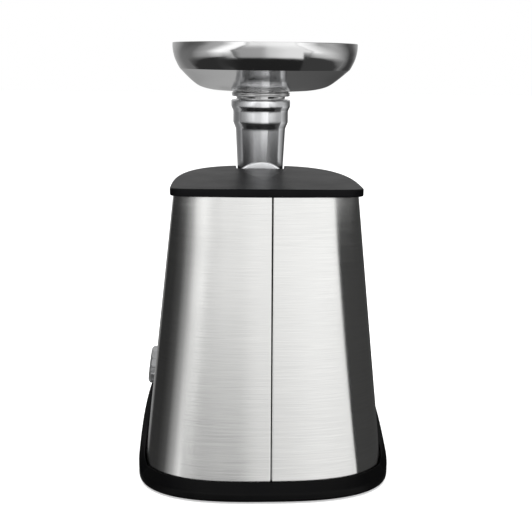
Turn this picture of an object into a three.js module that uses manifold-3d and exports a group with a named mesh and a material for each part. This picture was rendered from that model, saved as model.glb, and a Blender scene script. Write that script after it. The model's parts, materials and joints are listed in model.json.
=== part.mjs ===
// Electric meat grinder: a tower-shaped motor housing with a removable cast head and a hopper tray.
// Millimetres, +Z up. The front (ring nut) faces -Y, the knob is on +X, and the feet stand on Z = 0.
// A place along the machine is given as a station: millimetres forward of the datum near the plinth's rear.
import * as THREE from "three";
import { mergeVertices } from "three/addons/utils/BufferGeometryUtils.js";
import Module from "manifold-3d";

const wasm = await Module();
wasm.setup();

// ---- Driving dimensions ----
const GAP = 0.4; // between pieces that touch
const SLEEVE_GAP = 1.1; // between the plinth and the housing that stands in it
const DATUM_Y = 140.5; // Y of station 0

const PLINTH = { rear: -4.5, widest: 72, front: 285.5, half: 118.5, rearPower: 2.75, frontPower: 2.7 };
const BODY_FOOT = { rear: 6, widest: 75, front: 276, half: 112, rearPower: 2.75, frontPower: 2.7 };
const BODY_TOP = { rear: 39, widest: 68, front: 214, half: 83.2, rearPower: 2.75, frontPower: 2.7 };
const COVER = { rear: 37, widest: 60, front: 217, half: 85.5, rearPower: 6, frontPower: 2.7 };
const BODY_FOOT_Z = 18;
const COVER_Z = [269, 276]; // underside and top face
const COVER_SKIRT = { low: 263, gap: 0.5, wall: 2.5 }; // lip that drops inside the steel
const SHEET = 0.9; // steel wrap
const FASCIA_WALL = 2.6;
const FASCIA_ROOM = 7.6; // depth cleared from the cover's skirt behind the fascia
const FASCIA_ANGLE = 35; // where the steel ends and the front fascia starts, on the outline

const PLINTH_Z = 1.5; // underside, above the feet
const FLOOR = 3; // plinth floor thickness
const RIM_Z = 10; // plinth rim at the rear
const RIM_SLOPE = 0.385; // the rim climbs towards the front from RIM_START
const RIM_LEAN = 22; // how far the raised front of the rim leans back
const RIM_START = 39;
const LEDGE_RISE = 8; // the rear ledge slopes up to the steel
const FOOT_RADIUS = 9;

const AXIS_Z = 240; // barrel axis
const TUBE_AT = 215; // station of the feed tube's axis
const BARREL = { rear: 190, front: 252, outer: 32, bore: 26 };
const SPIGOT = { rear: 178, outer: 24, bore: 9.6 };
const TUBE_BORE = 20.8;
const TUBE_TOP = 344.8;
// Outer radius of the feed tube at each height, with its two rolled steps.
const TUBE_PROFILE = [
  [24, 262], [24, 277], [25.9, 315.5], [26.6, 317], [28.3, 321], [28.6, 322.5],
  [28.6, 333.6], [29.2, 334.8], [30.4, 337.2], [30.7, 338.4], [30.7, 343.8], [30, TUBE_TOP],
];
const SADDLE_RADIUS = 28.7; // boss where the tube meets the barrel
const NOTCH = { rear: 188, half: 25.2, corner: 5 };

const TRAY = { centre: 143, half: 86.3, halfLength: 124, power: 2.3, wall: 1.2, crease: 6.6, rimZ: 400 };
// The tray's outer face rises from the throat to a crease, then up a steep wall to the rim.
// Underside at the sides: share of the way from the throat's centre to the crease, and height.
// Towards the rear it turns into a straight slope between the first and the last of these.
const TRAY_UNDERSIDE = [
  [0.2, 352.8], [0.575, 355.3], [0.7, 357.5], [0.78, 359.9], [0.84, 363.4], [0.917, 369.3], [1, 376.8],
];
// Wall: how far it lies inside the rim, and height.
const TRAY_WALL_FACE = [[4.8, 380], [1.9, 386], [0.4, 392], [0, TRAY.rimZ]];

const KNOB = { at: 150, z: 77, radius: 19, height: 10, tilt: 6.6, bezel: 20.2 };
const KNOB_RIBS = 14;
const KNOB_RIB = 1.3; // thickness of a rib
const KNOB_ANGLE = 15.2; // where the knob's axis meets the outline
const MODULE_FAST = 1.25;
const MODULE_SLOW = 1.5;
const OUTPUT_AT = [0, AXIS_Z];
const SECOND_AT = [9, 209.81];
const FIRST_AT = [0, 179.88];
const MOTOR_AT = [0, 151.755];
const TEETH = { motor: 9, first: 36, firstPinion: 10, second: 40, secondPinion: 10, output: 32 };
const LAYERS = [[134, 142], [144, 154], [156, 170]]; // stations of the three gear stages
const GEARBOX = { rear: 130, split: 172, front: 176, half: 39, low: 122, high: 268.2, wall: 2.4 };
const STATOR = { rear: 72, front: 116, half: 38, halfHeight: 36 };

const RING_NUT = { rear: 240, lip: 257.8, front: 263.5, outer: 37, ribs: 12 };
const PLATE = { rear: 252.4, thickness: 5, radius: 29 };

// ---- Materials ----
const finish = (color, roughness, metalness) =>
  new THREE.MeshStandardMaterial({ color, roughness, metalness });
const LOOKS = {
  brushedSteel: () => finish(0xc9cacb, 0.32, 1),
  polishedSteel: () => finish(0xd8d9da, 0.12, 1),
  castAluminium: () => finish(0xc4c6c8, 0.22, 1),
  blackPlastic: () => finish(0x141415, 0.45, 0),
  greyPlastic: () => finish(0x3a3b3d, 0.5, 0),
  whitePlastic: () => finish(0xe6e3da, 0.5, 0),
  silverPlastic: () => finish(0xa3a4a6, 0.35, 0.6),
  rubber: () => finish(0x1c1c1c, 0.85, 0),
  gearSteel: () => finish(0x8d8f92, 0.4, 1),
  copper: () => finish(0xb4682f, 0.35, 1),
  laminations: () => finish(0x55585c, 0.6, 0.8),
};

const grinder = new THREE.Group();
grinder.name = "meat_grinder";

function add(name, geometry, look) {
  const mesh = new THREE.Mesh(geometry, LOOKS[look]());
  mesh.name = name;
  grinder.add(mesh);
  return mesh;
}

// ---- Solids: closed geometries, joined and cut ----
function solid(geometry) {
  const bare = new THREE.BufferGeometry();
  const loose = geometry.index ? geometry.toNonIndexed() : geometry;
  bare.setAttribute("position", loose.getAttribute("position"));
  const merged = mergeVertices(bare, 1e-3);
  return new wasm.Manifold(
    new wasm.Mesh({
      numProp: 3,
      vertProperties: merged.attributes.position.array,
      triVerts: new Uint32Array(merged.index.array),
    }),
  );
}

function geometryOf(body) {
  const mesh = body.getMesh();
  const geometry = new THREE.BufferGeometry();
  geometry.setAttribute("position", new THREE.BufferAttribute(mesh.vertProperties, 3));
  geometry.setIndex(new THREE.BufferAttribute(mesh.triVerts, 1));
  return geometry;
}

const join = (first, ...more) =>
  geometryOf(more.reduce((sum, next) => sum.add(solid(next)), solid(first)));
const cut = (first, ...tools) =>
  geometryOf(tools.reduce((rest, tool) => rest.subtract(solid(tool)), solid(first)));

const yAt = (station) => DATUM_Y - station;
const mix = (a, b, t) => a + (b - a) * t;
const radians = THREE.MathUtils.degToRad;

// A box from station to station, and from low to high across and up.
function block([x0, x1], [s0, s1], [z0, z1]) {
  const box = new THREE.BoxGeometry(x1 - x0, s1 - s0, z1 - z0);
  return box.translate((x0 + x1) / 2, yAt((s0 + s1) / 2), (z0 + z1) / 2);
}

// A round bar along the machine, between two stations.
function rod(radius, [s0, s1], [x, z], sides = 24) {
  return new THREE.CylinderGeometry(radius, radius, s1 - s0, sides).translate(x, yAt((s0 + s1) / 2), z);
}

// A round bar standing upright.
function post(radius, [z0, z1], [x, station], sides = 24) {
  const bar = new THREE.CylinderGeometry(radius, radius, z1 - z0, sides).rotateX(Math.PI / 2);
  return bar.translate(x, yAt(station), (z0 + z1) / 2);
}

// A profile of [radius, height] turned about the vertical through (x, station).
function turnedUpright(profile, [x, station], sides = 40) {
  const points = profile.map(([r, z]) => new THREE.Vector2(r, z));
  return outward(new THREE.LatheGeometry(points, sides).rotateX(Math.PI / 2)).translate(x, yAt(station), 0);
}

// A profile of [radius, station] turned about the line along the machine through [x, z].
function turnedAlong(profile, [x, z], sides = 40) {
  const points = profile.map(([r, station]) => new THREE.Vector2(r, yAt(station)));
  return outward(new THREE.LatheGeometry(points, sides)).translate(x, 0, z);
}

// A flat shape of [x, z] points, with holes, made solid between two stations.
function plateBetween([s0, s1], outline, holes = []) {
  const shape = new THREE.Shape(outline.map(([x, z]) => new THREE.Vector2(x, z)));
  for (const hole of holes) {
    shape.holes.push(new THREE.Path(hole.map(([x, z]) => new THREE.Vector2(x, z))));
  }
  const slab = new THREE.ExtrudeGeometry(shape, { depth: s1 - s0, bevelEnabled: false });
  return slab.rotateX(Math.PI / 2).translate(0, yAt(s0), 0);
}

// Points round a circle, as [x, z].
function ring(radius, [x, z] = [0, 0], sides = 24) {
  return Array.from({ length: sides }, (_, i) => {
    const a = (2 * Math.PI * i) / sides;
    return [x + radius * Math.cos(a), z + radius * Math.sin(a)];
  });
}

// The same geometry with its faces pointing out, whichever way its profile ran.
function outward(geometry) {
  const loose = geometry.index ? geometry.toNonIndexed() : geometry;
  const p = loose.getAttribute("position");
  const [a, b, c] = [new THREE.Vector3(), new THREE.Vector3(), new THREE.Vector3()];
  let volume = 0;
  for (let i = 0; i < p.count; i += 3) {
    a.fromBufferAttribute(p, i);
    b.fromBufferAttribute(p, i + 1);
    c.fromBufferAttribute(p, i + 2);
    volume += a.dot(b.cross(c));
  }
  if (volume >= 0) return loose;
  for (let i = 0; i < p.count; i += 3) {
    b.fromBufferAttribute(p, i + 1);
    c.fromBufferAttribute(p, i + 2);
    p.setXYZ(i + 1, c.x, c.y, c.z);
    p.setXYZ(i + 2, b.x, b.y, b.z);
  }
  return loose;
}

// A closed skin through rings of equally many [x, y, z] points, capped flat at the first and last ring.
function skinned(rings) {
  const positions = [];
  const triangle = (...corners) => corners.forEach((corner) => positions.push(...corner));
  for (let k = 0; k + 1 < rings.length; k += 1) {
    rings[k].forEach((corner, i) => {
      const next = (i + 1) % rings[k].length;
      triangle(corner, rings[k][next], rings[k + 1][next]);
      triangle(corner, rings[k + 1][next], rings[k + 1][i]);
    });
  }
  for (const [cap, isFirst] of [[rings[0], true], [rings.at(-1), false]]) {
    const flat = cap.map(([x, y]) => new THREE.Vector2(x, y));
    const areaSign = Math.sign(THREE.ShapeUtils.area(flat));
    for (const corners of THREE.ShapeUtils.triangulateShape(flat, [])) {
      const facing = Math.sign(THREE.ShapeUtils.area(corners.map((i) => flat[i])));
      const [i, j, k] = (facing === areaSign) === isFirst ? corners.reverse() : corners;
      triangle(cap[i], cap[j], cap[k]);
    }
  }
  const geometry = new THREE.BufferGeometry();
  geometry.setAttribute("position", new THREE.Float32BufferAttribute(positions, 3));
  return outward(geometry);
}

// ---- The housing's outline ----
// Each outline is two half superellipses, one behind the widest station and one ahead of it.
// The angle runs from -90 at the rear centre, through 0 at +X, to 90 at the front centre and round to 270.
function outlinePoint(plan, degrees) {
  const c = Math.cos(radians(degrees));
  const s = Math.sin(radians(degrees));
  const power = 2 / (s < 0 ? plan.rearPower : plan.frontPower);
  const reach = s < 0 ? plan.rear - plan.widest : plan.front - plan.widest;
  const across = Math.abs(c) < 1e-9 ? 0 : Math.sign(c) * Math.abs(c) ** power;
  return [plan.half * across, plan.widest + reach * Math.abs(s) ** power];
}

// The outline grown outwards by a margin, or shrunk where it is negative.
function grown(plan, margin) {
  return {
    ...plan,
    rear: plan.rear - margin,
    front: plan.front + margin,
    half: plan.half + margin,
  };
}

// The body's outline at a height: every size runs in a straight line from its foot to its top.
function bodyPlan(z, margin = 0) {
  const t = (z - BODY_FOOT_Z) / (COVER_Z[0] - BODY_FOOT_Z);
  const plan = { ...BODY_FOOT };
  for (const size of ["rear", "widest", "front", "half"]) {
    plan[size] = mix(BODY_FOOT[size], BODY_TOP[size], t);
  }
  return grown(plan, margin);
}

const ROUND = Array.from({ length: 40 }, (_, i) => -90 + i * 9);
const loop = (plan, z) =>
  ROUND.map((angle) => {
    const [x, station] = outlinePoint(plan, angle);
    return [x, yAt(station), z];
  });

// A strip of the body's wall between two outline angles, as a closed ring of points at one height.
// A seam limit keeps every point at least that far to its own side.
function wallRing(z, [from, to], [outerMargin, thickness], seamLimit = null) {
  const steps = 14;
  const angles = Array.from({ length: steps + 1 }, (_, i) => mix(from, to, i / steps));
  const side = Math.sign(Math.cos(radians((from + to) / 2)));
  const line = (margin) =>
    angles.map((angle) => {
      const [x, station] = outlinePoint(bodyPlan(z, margin), angle);
      return [seamLimit === null ? x : side * Math.max(side * x, seamLimit), yAt(station), z];
    });
  return [...line(outerMargin), ...line(outerMargin - thickness).reverse()];
}

// ---- Plinth: a black tray whose rim climbs towards the front ----
const rimHeight = (station) => RIM_Z + RIM_SLOPE * Math.max(0, station - RIM_START);
const LEDGE_FADE = [20, 110]; // stations over which the sloping ledge flattens out

function plinthRings() {
  const floorZ = PLINTH_Z + FLOOR;
  const leaning = { ...PLINTH, front: PLINTH.front - RIM_LEAN };
  const rims = ROUND.map((angle) => {
    const [x, station] = outlinePoint(leaning, angle);
    return [x, station, rimHeight(station)];
  });
  const inner = ROUND.map((angle, i) => {
    const fade = THREE.MathUtils.smoothstep(rims[i][1], ...LEDGE_FADE);
    const z = rims[i][2] + LEDGE_RISE * (1 - fade);
    const [x, station] = outlinePoint(bodyPlan(z, SLEEVE_GAP), angle);
    return [x, yAt(station), z];
  });
  const foot = loop(grown(PLINTH, -1.2), PLINTH_Z);
  const chamfer = loop(PLINTH, PLINTH_Z + 1.4);
  return [
    foot,
    chamfer,
    rims.map(([x, station, z]) => [x, yAt(station), z]),
    inner,
    loop(bodyPlan(floorZ, SLEEVE_GAP), floorZ),
  ];
}

const FEET_AT = [[78, 40], [-78, 40], [62, 238], [-62, 238]];
const BASE_SCREWS_AT = [[34, 104], [-34, 104], [34, 122], [-34, 122]];
const GLAND_AT = [52, 34];
const VENTS = 6;

function basePlinth() {
  const tools = FEET_AT.map((spot) => post(FOOT_RADIUS + GAP, [0, 3.2], spot, 16));
  tools.push(post(7.4, [0, 6], GLAND_AT, 16));
  for (const spot of BASE_SCREWS_AT) tools.push(post(2.2, [0, 14], spot, 10));
  for (let i = 0; i < VENTS; i += 1) {
    const x = (i - (VENTS - 1) / 2) * 9;
    tools.push(block([x - 1.8, x + 1.8], [150, 190], [0, 6]));
  }
  const bosses = BASE_SCREWS_AT.map((spot) => post(5, [4, 9.6], spot, 12));
  return cut(join(skinned(plinthRings()), ...bosses), ...tools);
}
add("base_plinth", basePlinth(), "blackPlastic");
FEET_AT.forEach((spot, i) => add(`rubber_foot_${i + 1}`, post(FOOT_RADIUS, [0, 2.8], spot, 20), "rubber"));
BASE_SCREWS_AT.forEach((spot, i) => {
  const shank = post(1.8, [1.7, 13.4], spot, 10);
  const head = post(3.6, [13.4, 15.4], spot, 12);
  add(`base_screw_${i + 1}`, join(shank, head), "gearSteel");
});
add(
  "cord_gland",
  turnedUpright(
    [[3.6, 0.6], [9.4, 0.6], [9.4, 1.2], [7, 1.2], [7, 5], [8.6, 5], [8.6, 7], [3.6, 14], [3.6, 0.6]],
    GLAND_AT, 16),
  "rubber",
);

// ---- Steel wrap: two panels that meet at the rear seam ----
const WRAP_Z = [7, COVER_Z[0] - GAP];
const SEAM_HALF = 0.5;
const SEAM_X = -4.6; // the seam is a little off the middle of the rear

const FASCIA_JOINT = 0.6; // degrees of outline left open between steel and fascia

function steelPanel(side) {
  const end = FASCIA_ANGLE - FASCIA_JOINT;
  const angles = side > 0 ? [-92, end] : [-90, -180 - end];
  return skinned(WRAP_Z.map((z) => wallRing(z, angles, [0, SHEET], SEAM_HALF + side * SEAM_X)));
}

const knobFrame = new THREE.Matrix4().makeRotationY(-radians(KNOB.tilt));
const [knobWallX] = outlinePoint(bodyPlan(KNOB.z), KNOB_ANGLE);
knobFrame.setPosition(knobWallX, yAt(KNOB.at), KNOB.z);

// A round bar along the knob's axis, measured from the housing's face.
function knobRod(radius, [from, to], sides = 24) {
  const bar = new THREE.CylinderGeometry(radius, radius, to - from, sides).rotateZ(-Math.PI / 2);
  return bar.translate((from + to) / 2, 0, 0).applyMatrix4(knobFrame);
}

add("steel_panel_left", cut(steelPanel(1), knobRod(7, [-12, 12], 16)), "brushedSteel");
add("steel_panel_right", steelPanel(-1), "brushedSteel");
const STRIP_TOP = 262; // clear of the cover's skirt
const stripRing = (z) => {
  const rear = bodyPlan(z).rear + SHEET + GAP;
  const corners = [[-7, rear], [7, rear], [7, rear + 1.6], [-7, rear + 1.6]];
  return corners.map(([x, s]) => [SEAM_X + x, yAt(s), z]);
};
add("seam_strip", skinned([WRAP_Z[0], STRIP_TOP].map(stripRing)), "blackPlastic");

// ---- Top cover, notched for the feed tube ----
function notchTool() {
  const { rear, half, corner } = NOTCH;
  const outline = [[half, 250], [half, rear + corner]];
  for (let a = 0; a <= 90; a += 22.5) {
    const t = radians(a);
    outline.push([half - corner + corner * Math.cos(t), rear + corner - corner * Math.sin(t)]);
  }
  const mirrored = outline.map(([x, s]) => [-x, s]).reverse();
  const points = [...outline, ...mirrored].map(([x, s]) => [x, yAt(s)]);
  return skinned([255, 280].map((z) => points.map(([x, y]) => [x, y, z])));
}

function topCover() {
  const [low, high] = COVER_Z;
  const slab = skinned([loop(COVER, low), loop(COVER, high - 1.6), loop(grown(COVER, -0.5), high - 0.5),
    loop(grown(COVER, -1.6), high)]);
  const { low: skirtLow, gap, wall } = COVER_SKIRT;
  const skirtPlan = bodyPlan(low, -(SHEET + GAP + gap));
  const skirt = skinned([skirtLow, low + 1].map((z) => loop(skirtPlan, z)));
  const hollow = skinned([skirtLow - 1, high - 3.5].map((z) => loop(grown(skirtPlan, -wall), z)));
  const front = [FASCIA_ANGLE - 2, 182 - FASCIA_ANGLE];
  const strip = wallRing(low, front, [2, FASCIA_ROOM]);
  const fasciaRoom = skinned([skirtLow - 1, low].map((z) => strip.map(([x, y]) => [x, y, z])));
  return cut(join(slab, skirt), hollow, fasciaRoom, notchTool());
}
add("top_cover", topCover(), "blackPlastic");

// ---- Front fascia with the head's opening and the lock slider's slot ----
const LOCK = { low: 180, high: 198, slot: [179, 193.5], shelf: [156, 159.5] };

function frontFascia() {
  const span = [FASCIA_ANGLE, 180 - FASCIA_ANGLE];
  const wall = skinned(WRAP_Z.map((z) => wallRing(z, span, [0.2, FASCIA_WALL])));
  const shelf = block([-9, 9], [211, 241.5], LOCK.shelf);
  const opening = rod(36, [180, 260], [0, AXIS_Z], 40);
  const slot = block([-30, 30], [180, 260], [AXIS_Z, 275]);
  return cut(join(wall, shelf), opening, slot, block([-4.2, 4.2], [215, 260], LOCK.slot));
}
add("front_fascia", frontFascia(), "blackPlastic");

const PAD_AT = [238, 242.5];
const PLATE_AT = [216, 219];
add(
  "lock_slider",
  join(
    block([-9, 9], PAD_AT, [LOCK.low, LOCK.high]),
    block([-3.5, 3.5], [PLATE_AT[0] + 1, PAD_AT[0] + 1], [186, 192]),
    block([-6, 6], PLATE_AT, [LOCK.low, 207]),
    ...[184, 188, 192].map((z) => block([-7, 7], [PAD_AT[1] - 0.5, PAD_AT[1] + 1], [z, z + 1.6])),
  ),
  "silverPlastic",
);

// A wire coil standing upright.
class Coil extends THREE.Curve {
  constructor(radius, low, high, turns, [x, station]) {
    super();
    Object.assign(this, { radius, low, high, turns, x, station });
  }

  getPoint(t, target = new THREE.Vector3()) {
    const a = 2 * Math.PI * this.turns * t;
    return target.set(
      this.x + this.radius * Math.cos(a),
      yAt(this.station) + this.radius * Math.sin(a),
      mix(this.low, this.high, t),
    );
  }
}

function wire(curve, radius, sides, steps) {
  const section = new THREE.Shape(ring(radius, [0, 0], sides).map(([x, y]) => new THREE.Vector2(x, y)));
  return outward(new THREE.ExtrudeGeometry(section, { steps, extrudePath: curve, bevelEnabled: false }));
}
add("lock_spring", wire(new Coil(3.6, 160.7, 178.9, 4.5, [0, 217.5]), 0.6, 4, 45), "gearSteel");

// ---- Knob, its bezel and the rotary switch ----
const spindle = knobRod(3, [-16, 3], 16);
const ribs = Array.from({ length: KNOB_RIBS }, (_, i) => {
  const rib = new THREE.BoxGeometry(KNOB.height - 3, KNOB_RIB, KNOB_RIB);
  rib.translate(KNOB.height / 2 + 1.6, KNOB.radius - 0.5, 0);
  return rib.rotateX((2 * Math.PI * i) / KNOB_RIBS).applyMatrix4(knobFrame);
});
const knobBody = [
  knobRod(KNOB.radius - 0.5, [2.4, KNOB.height]),
  knobRod(KNOB.radius - 2, [KNOB.height - 0.5, KNOB.height + 1.2]),
];
const pointer = new THREE.BoxGeometry(1.2, 3, 12).translate(KNOB.height + 1.4, 0, 9);
pointer.applyMatrix4(knobFrame);
add("speed_knob", cut(join(...knobBody, ...ribs, pointer), knobRod(3.4, [0, 6], 16)), "silverPlastic");
add("switch_spindle", spindle, "gearSteel");
const bodyBlank = skinned([20, 140].map((z) => loop(bodyPlan(z, GAP), z)));
add("knob_bezel", cut(knobRod(KNOB.bezel, [-4, 2]), bodyBlank, knobRod(8, [-6, 6], 16)), "blackPlastic");
const switchBox = new THREE.BoxGeometry(18, 30, 26).translate(-14.5, 0, 0).applyMatrix4(knobFrame);
add("rotary_switch", cut(switchBox, knobRod(3.4, [-18, 0], 16)), "greyPlastic");

// ---- Gears: each flank is the chord of its involute, thinned for running clearance ----
function gearOutline(teeth, module, [x, z], phase) {
  const pitch = (module * teeth) / 2;
  const base = pitch * Math.cos(radians(20));
  const tip = pitch + 0.9 * module;
  const root = pitch - 1.2 * module;
  const involute = (r) => (r <= base ? 0 : Math.sqrt((r / base) ** 2 - 1) - Math.acos(base / r));
  const backlash = 0.45;
  const halfAtPitch = (Math.PI * module * 0.5 - backlash) / 2 / pitch;
  const half = (r) => Math.max(halfAtPitch + involute(pitch) - involute(r), 0.2 / r);
  const points = [];
  for (let i = 0; i < teeth; i += 1) {
    const middle = phase + (2 * Math.PI * i) / teeth;
    for (const [r, side] of [[root, -1], [tip, -1], [tip, 1], [root, 1]]) {
      points.push([r, middle + side * half(r)]);
    }
  }
  return points.map(([r, a]) => [x + r * Math.cos(a), z + r * Math.sin(a)]);
}

const direction = ([x0, z0], [x1, z1]) => Math.atan2(z1 - z0, x1 - x0);

// Turns the follower so that one of its gaps faces the driver's tooth on the line of centres.
function meshPhase(driver, follower, driverAt, followerAt, driverPhase) {
  const line = direction(driverAt, followerAt);
  const turned = ((line - driverPhase) * driver) / follower;
  return line + Math.PI + turned + Math.PI / follower;
}

const phaseMotor = 0;
const phaseFirst = meshPhase(TEETH.motor, TEETH.first, MOTOR_AT, FIRST_AT, phaseMotor);
const phaseSecond = meshPhase(TEETH.firstPinion, TEETH.second, FIRST_AT, SECOND_AT, 0);
const phaseOutput = meshPhase(TEETH.secondPinion, TEETH.output, SECOND_AT, OUTPUT_AT, 0);

const gear = (wheel, module, layer, at, phase, bore) =>
  plateBetween(LAYERS[layer], gearOutline(TEETH[wheel], module, at, phase), [ring(bore, at, 16)]);

const MOTOR_SHAFT = 3;
const GEAR_SHAFT = 4;
add("motor_pinion", gear("motor", MODULE_FAST, 0, MOTOR_AT, phaseMotor, MOTOR_SHAFT + 0.2), "gearSteel");
add("first_gear", gear("first", MODULE_FAST, 0, FIRST_AT, phaseFirst, GEAR_SHAFT + GAP), "whitePlastic");
add(
  "first_pinion_shaft",
  join(
    rod(GEAR_SHAFT, [131, 174.4], FIRST_AT, 16),
    plateBetween(LAYERS[1], gearOutline(TEETH.firstPinion, MODULE_FAST, FIRST_AT, 0)),
  ),
  "gearSteel",
);
add("second_gear", gear("second", MODULE_FAST, 1, SECOND_AT, phaseSecond, GEAR_SHAFT + GAP), "whitePlastic");
add(
  "second_pinion_shaft",
  join(
    rod(GEAR_SHAFT, [131, 174.4], SECOND_AT, 16),
    plateBetween(LAYERS[2], gearOutline(TEETH.secondPinion, MODULE_SLOW, SECOND_AT, 0)),
  ),
  "gearSteel",
);
const DRIVE_RADIUS = 8;
const DRIVE_SQUARE = 5.6; // half the width of the square socket that drives the auger
add("output_gear", gear("output", MODULE_SLOW, 2, OUTPUT_AT, phaseOutput, DRIVE_RADIUS + GAP), "gearSteel");
add(
  "drive_spindle",
  cut(
    rod(DRIVE_RADIUS, [LAYERS[2][0], 186], OUTPUT_AT, 24),
    block([-DRIVE_SQUARE, DRIVE_SQUARE], [174, 187], [AXIS_Z - DRIVE_SQUARE, AXIS_Z + DRIVE_SQUARE]),
  ),
  "gearSteel",
);

// ---- Gearbox housing and cover ----
function gearboxOutline(margin) {
  const { half, low, high } = GEARBOX;
  const corner = 28;
  const points = [[half + margin, low - margin]];
  for (let a = 0; a <= 90; a += 15) {
    const t = radians(a);
    points.push([
      half - corner + (corner + margin) * Math.cos(t),
      high - corner + (corner + margin) * Math.sin(t),
    ]);
  }
  return [...points, ...points.map(([x, z]) => [-x, z]).reverse()];
}

const BEARING_RADIUS = 9;
const shaftRecess = (at, stations) => rod(GEAR_SHAFT + 0.5, stations, at, 16);
add(
  "gearbox_housing",
  cut(
    plateBetween([GEARBOX.rear, GEARBOX.split], gearboxOutline(0)),
    plateBetween([GEARBOX.rear + 3, GEARBOX.split + 1], gearboxOutline(-GEARBOX.wall)),
    rod(BEARING_RADIUS + 0.6, [GEARBOX.rear - 1, GEARBOX.rear + 4], MOTOR_AT, 20),
    shaftRecess(FIRST_AT, [130.6, 134]),
    shaftRecess(SECOND_AT, [130.6, 134]),
  ),
  "castAluminium",
);
const GEARBOX_SCREWS_AT = [[32, 129], [-32, 129], [34, 226], [-34, 226]];
add(
  "gearbox_cover",
  cut(
    plateBetween([GEARBOX.split + GAP, GEARBOX.front], gearboxOutline(0), [
      ring(8.6, OUTPUT_AT, 24),
      ...GEARBOX_SCREWS_AT.map((at) => ring(2, at, 8)),
    ]),
    shaftRecess(FIRST_AT, [172, 174.8]),
    shaftRecess(SECOND_AT, [172, 174.8]),
  ),
  "castAluminium",
);
GEARBOX_SCREWS_AT.forEach((at, i) => {
  const shank = rod(1.6, [166, GEARBOX.front + GAP], at, 8);
  const head = rod(3.2, [GEARBOX.front + GAP, 178.6], at, 12);
  add(`gearbox_screw_${i + 1}`, join(shank, head), "gearSteel");
});
add(
  "head_socket",
  turnedAlong([[SPIGOT.outer + GAP, 176.4], [28.4, 176.4], [28.4, 187.4], [SPIGOT.outer + GAP, 187.4],
    [SPIGOT.outer + GAP, 176.4]], OUTPUT_AT, 32),
  "castAluminium",
);

// ---- Motor and the chassis plate that carries it ----
const [, motorZ] = MOTOR_AT;
const around = (half) => [motorZ - half, motorZ + half];
add(
  "motor_chassis",
  cut(
    join(
      block([-44, 44], [126.4, 129.6], [16, 200]),
      block([-44, 44], [96, 129.6], [10, 13]),
      block([-44, 44], [126.4, 129.6], [10, 17]),
      block([31, 37], [STATOR.front + GAP, 127], around(8)),
      block([-37, -31], [STATOR.front + GAP, 127], around(8)),
    ),
    rod(BEARING_RADIUS + GAP, [120, 131], MOTOR_AT, 20),
    ...BASE_SCREWS_AT.map((spot) => post(2.2, [8, 14], spot, 10)),
  ),
  "gearSteel",
);
const bearing = (name, stations) =>
  add(
    name,
    cut(rod(BEARING_RADIUS, stations, MOTOR_AT, 20), rod(MOTOR_SHAFT + 0.3, [0, 200], MOTOR_AT, 16)),
    "gearSteel",
  );
bearing("front_bearing", [126.4, 131.6]);
bearing("rear_bearing", [46.4, 51.6]);
add("armature_shaft", rod(MOTOR_SHAFT, [44, 143], MOTOR_AT, 16), "gearSteel");

function armatureOutline() {
  const slots = 12;
  const points = [];
  for (let i = 0; i < slots; i += 1) {
    for (const [r, share] of [[18, 0.08], [22, 0.16], [22, 0.84], [18, 0.92]]) {
      const a = (2 * Math.PI * (i + share)) / slots;
      points.push([r * Math.cos(a), motorZ + r * Math.sin(a)]);
    }
  }
  return points;
}
const shaftHole = ring(MOTOR_SHAFT + 0.3, MOTOR_AT, 16);
const stack = plateBetween([STATOR.rear, STATOR.front], armatureOutline(), [shaftHole]);
add("armature_core", stack, "laminations");
add("commutator", plateBetween([57, 68], ring(10, MOTOR_AT, 24), [shaftHole]), "copper");
const FAN_BLADES = 9;
const fanBlades = Array.from({ length: FAN_BLADES }, (_, i) => {
  const blade = new THREE.BoxGeometry(1.2, 5, 19).translate(0, yAt(122), 15.5);
  return blade.rotateY((2 * Math.PI * i) / FAN_BLADES).translate(0, 0, motorZ);
});
add(
  "cooling_fan",
  cut(join(rod(26, [124.4, 125.6], MOTOR_AT, 24), rod(7, [119.6, 125], MOTOR_AT, 16), ...fanBlades),
    rod(MOTOR_SHAFT + 0.3, [110, 130], MOTOR_AT, 16)),
  "greyPlastic",
);

const COIL = { across: [22.6, 30], up: [18.6, 29], rear: 63, front: 117.8, bar: 7 };
// The band from near to far on one side of a centre, widened by a slack.
const band = ([near, far], side, centre, slack = 0) =>
  side > 0
    ? [centre + near - slack, centre + far + slack]
    : [centre - far - slack, centre - near + slack];
const pocket = (sideX, sideZ, slack) =>
  block(
    band(COIL.across, sideX, 0, slack),
    [STATOR.rear - 1, STATOR.front + 1],
    band(COIL.up, sideZ, motorZ, slack),
  );
const signs = [[1, 1], [1, -1], [-1, 1], [-1, -1]];
add(
  "stator_core",
  cut(
    block([-STATOR.half, STATOR.half], [STATOR.rear, STATOR.front], around(STATOR.halfHeight)),
    rod(22.8, [60, 130], MOTOR_AT, 32),
    ...signs.map(([x, z]) => pocket(x, z, GAP)),
  ),
  "laminations",
);
for (const [name, sign] of [["upper_field_coil", 1], ["lower_field_coil", -1]]) {
  const heights = band(COIL.up, sign, motorZ);
  const frame = cut(
    block([-COIL.across[1], COIL.across[1]], [COIL.rear, COIL.front], heights),
    block([-COIL.across[0], COIL.across[0]], [STATOR.rear - 2, STATOR.front + 0.2], [100, 200]),
  );
  add(name, cut(frame, rod(23, [55, 119], MOTOR_AT, 32)), "copper");
}
add(
  "rear_motor_bracket",
  cut(
    join(
      block([-37, 37], [47, 51], around(11)),
      block([31, 37], [50, STATOR.rear - GAP], around(8)),
      block([-37, -31], [50, STATOR.rear - GAP], around(8)),
    ),
    rod(BEARING_RADIUS + GAP, [40, 56], MOTOR_AT, 20),
  ),
  "gearSteel",
);
for (const [name, sign] of [["left_brush_holder", 1], ["right_brush_holder", -1]]) {
  const across = sign > 0 ? [10.8, 30.4] : [-30.4, -10.8];
  add(name, block(across, [58, 67], around(4.5)), "greyPlastic");
}
add("suppressor_capacitor", block([52, 70], [96, 122], [8, 26]), "greyPlastic");

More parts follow.
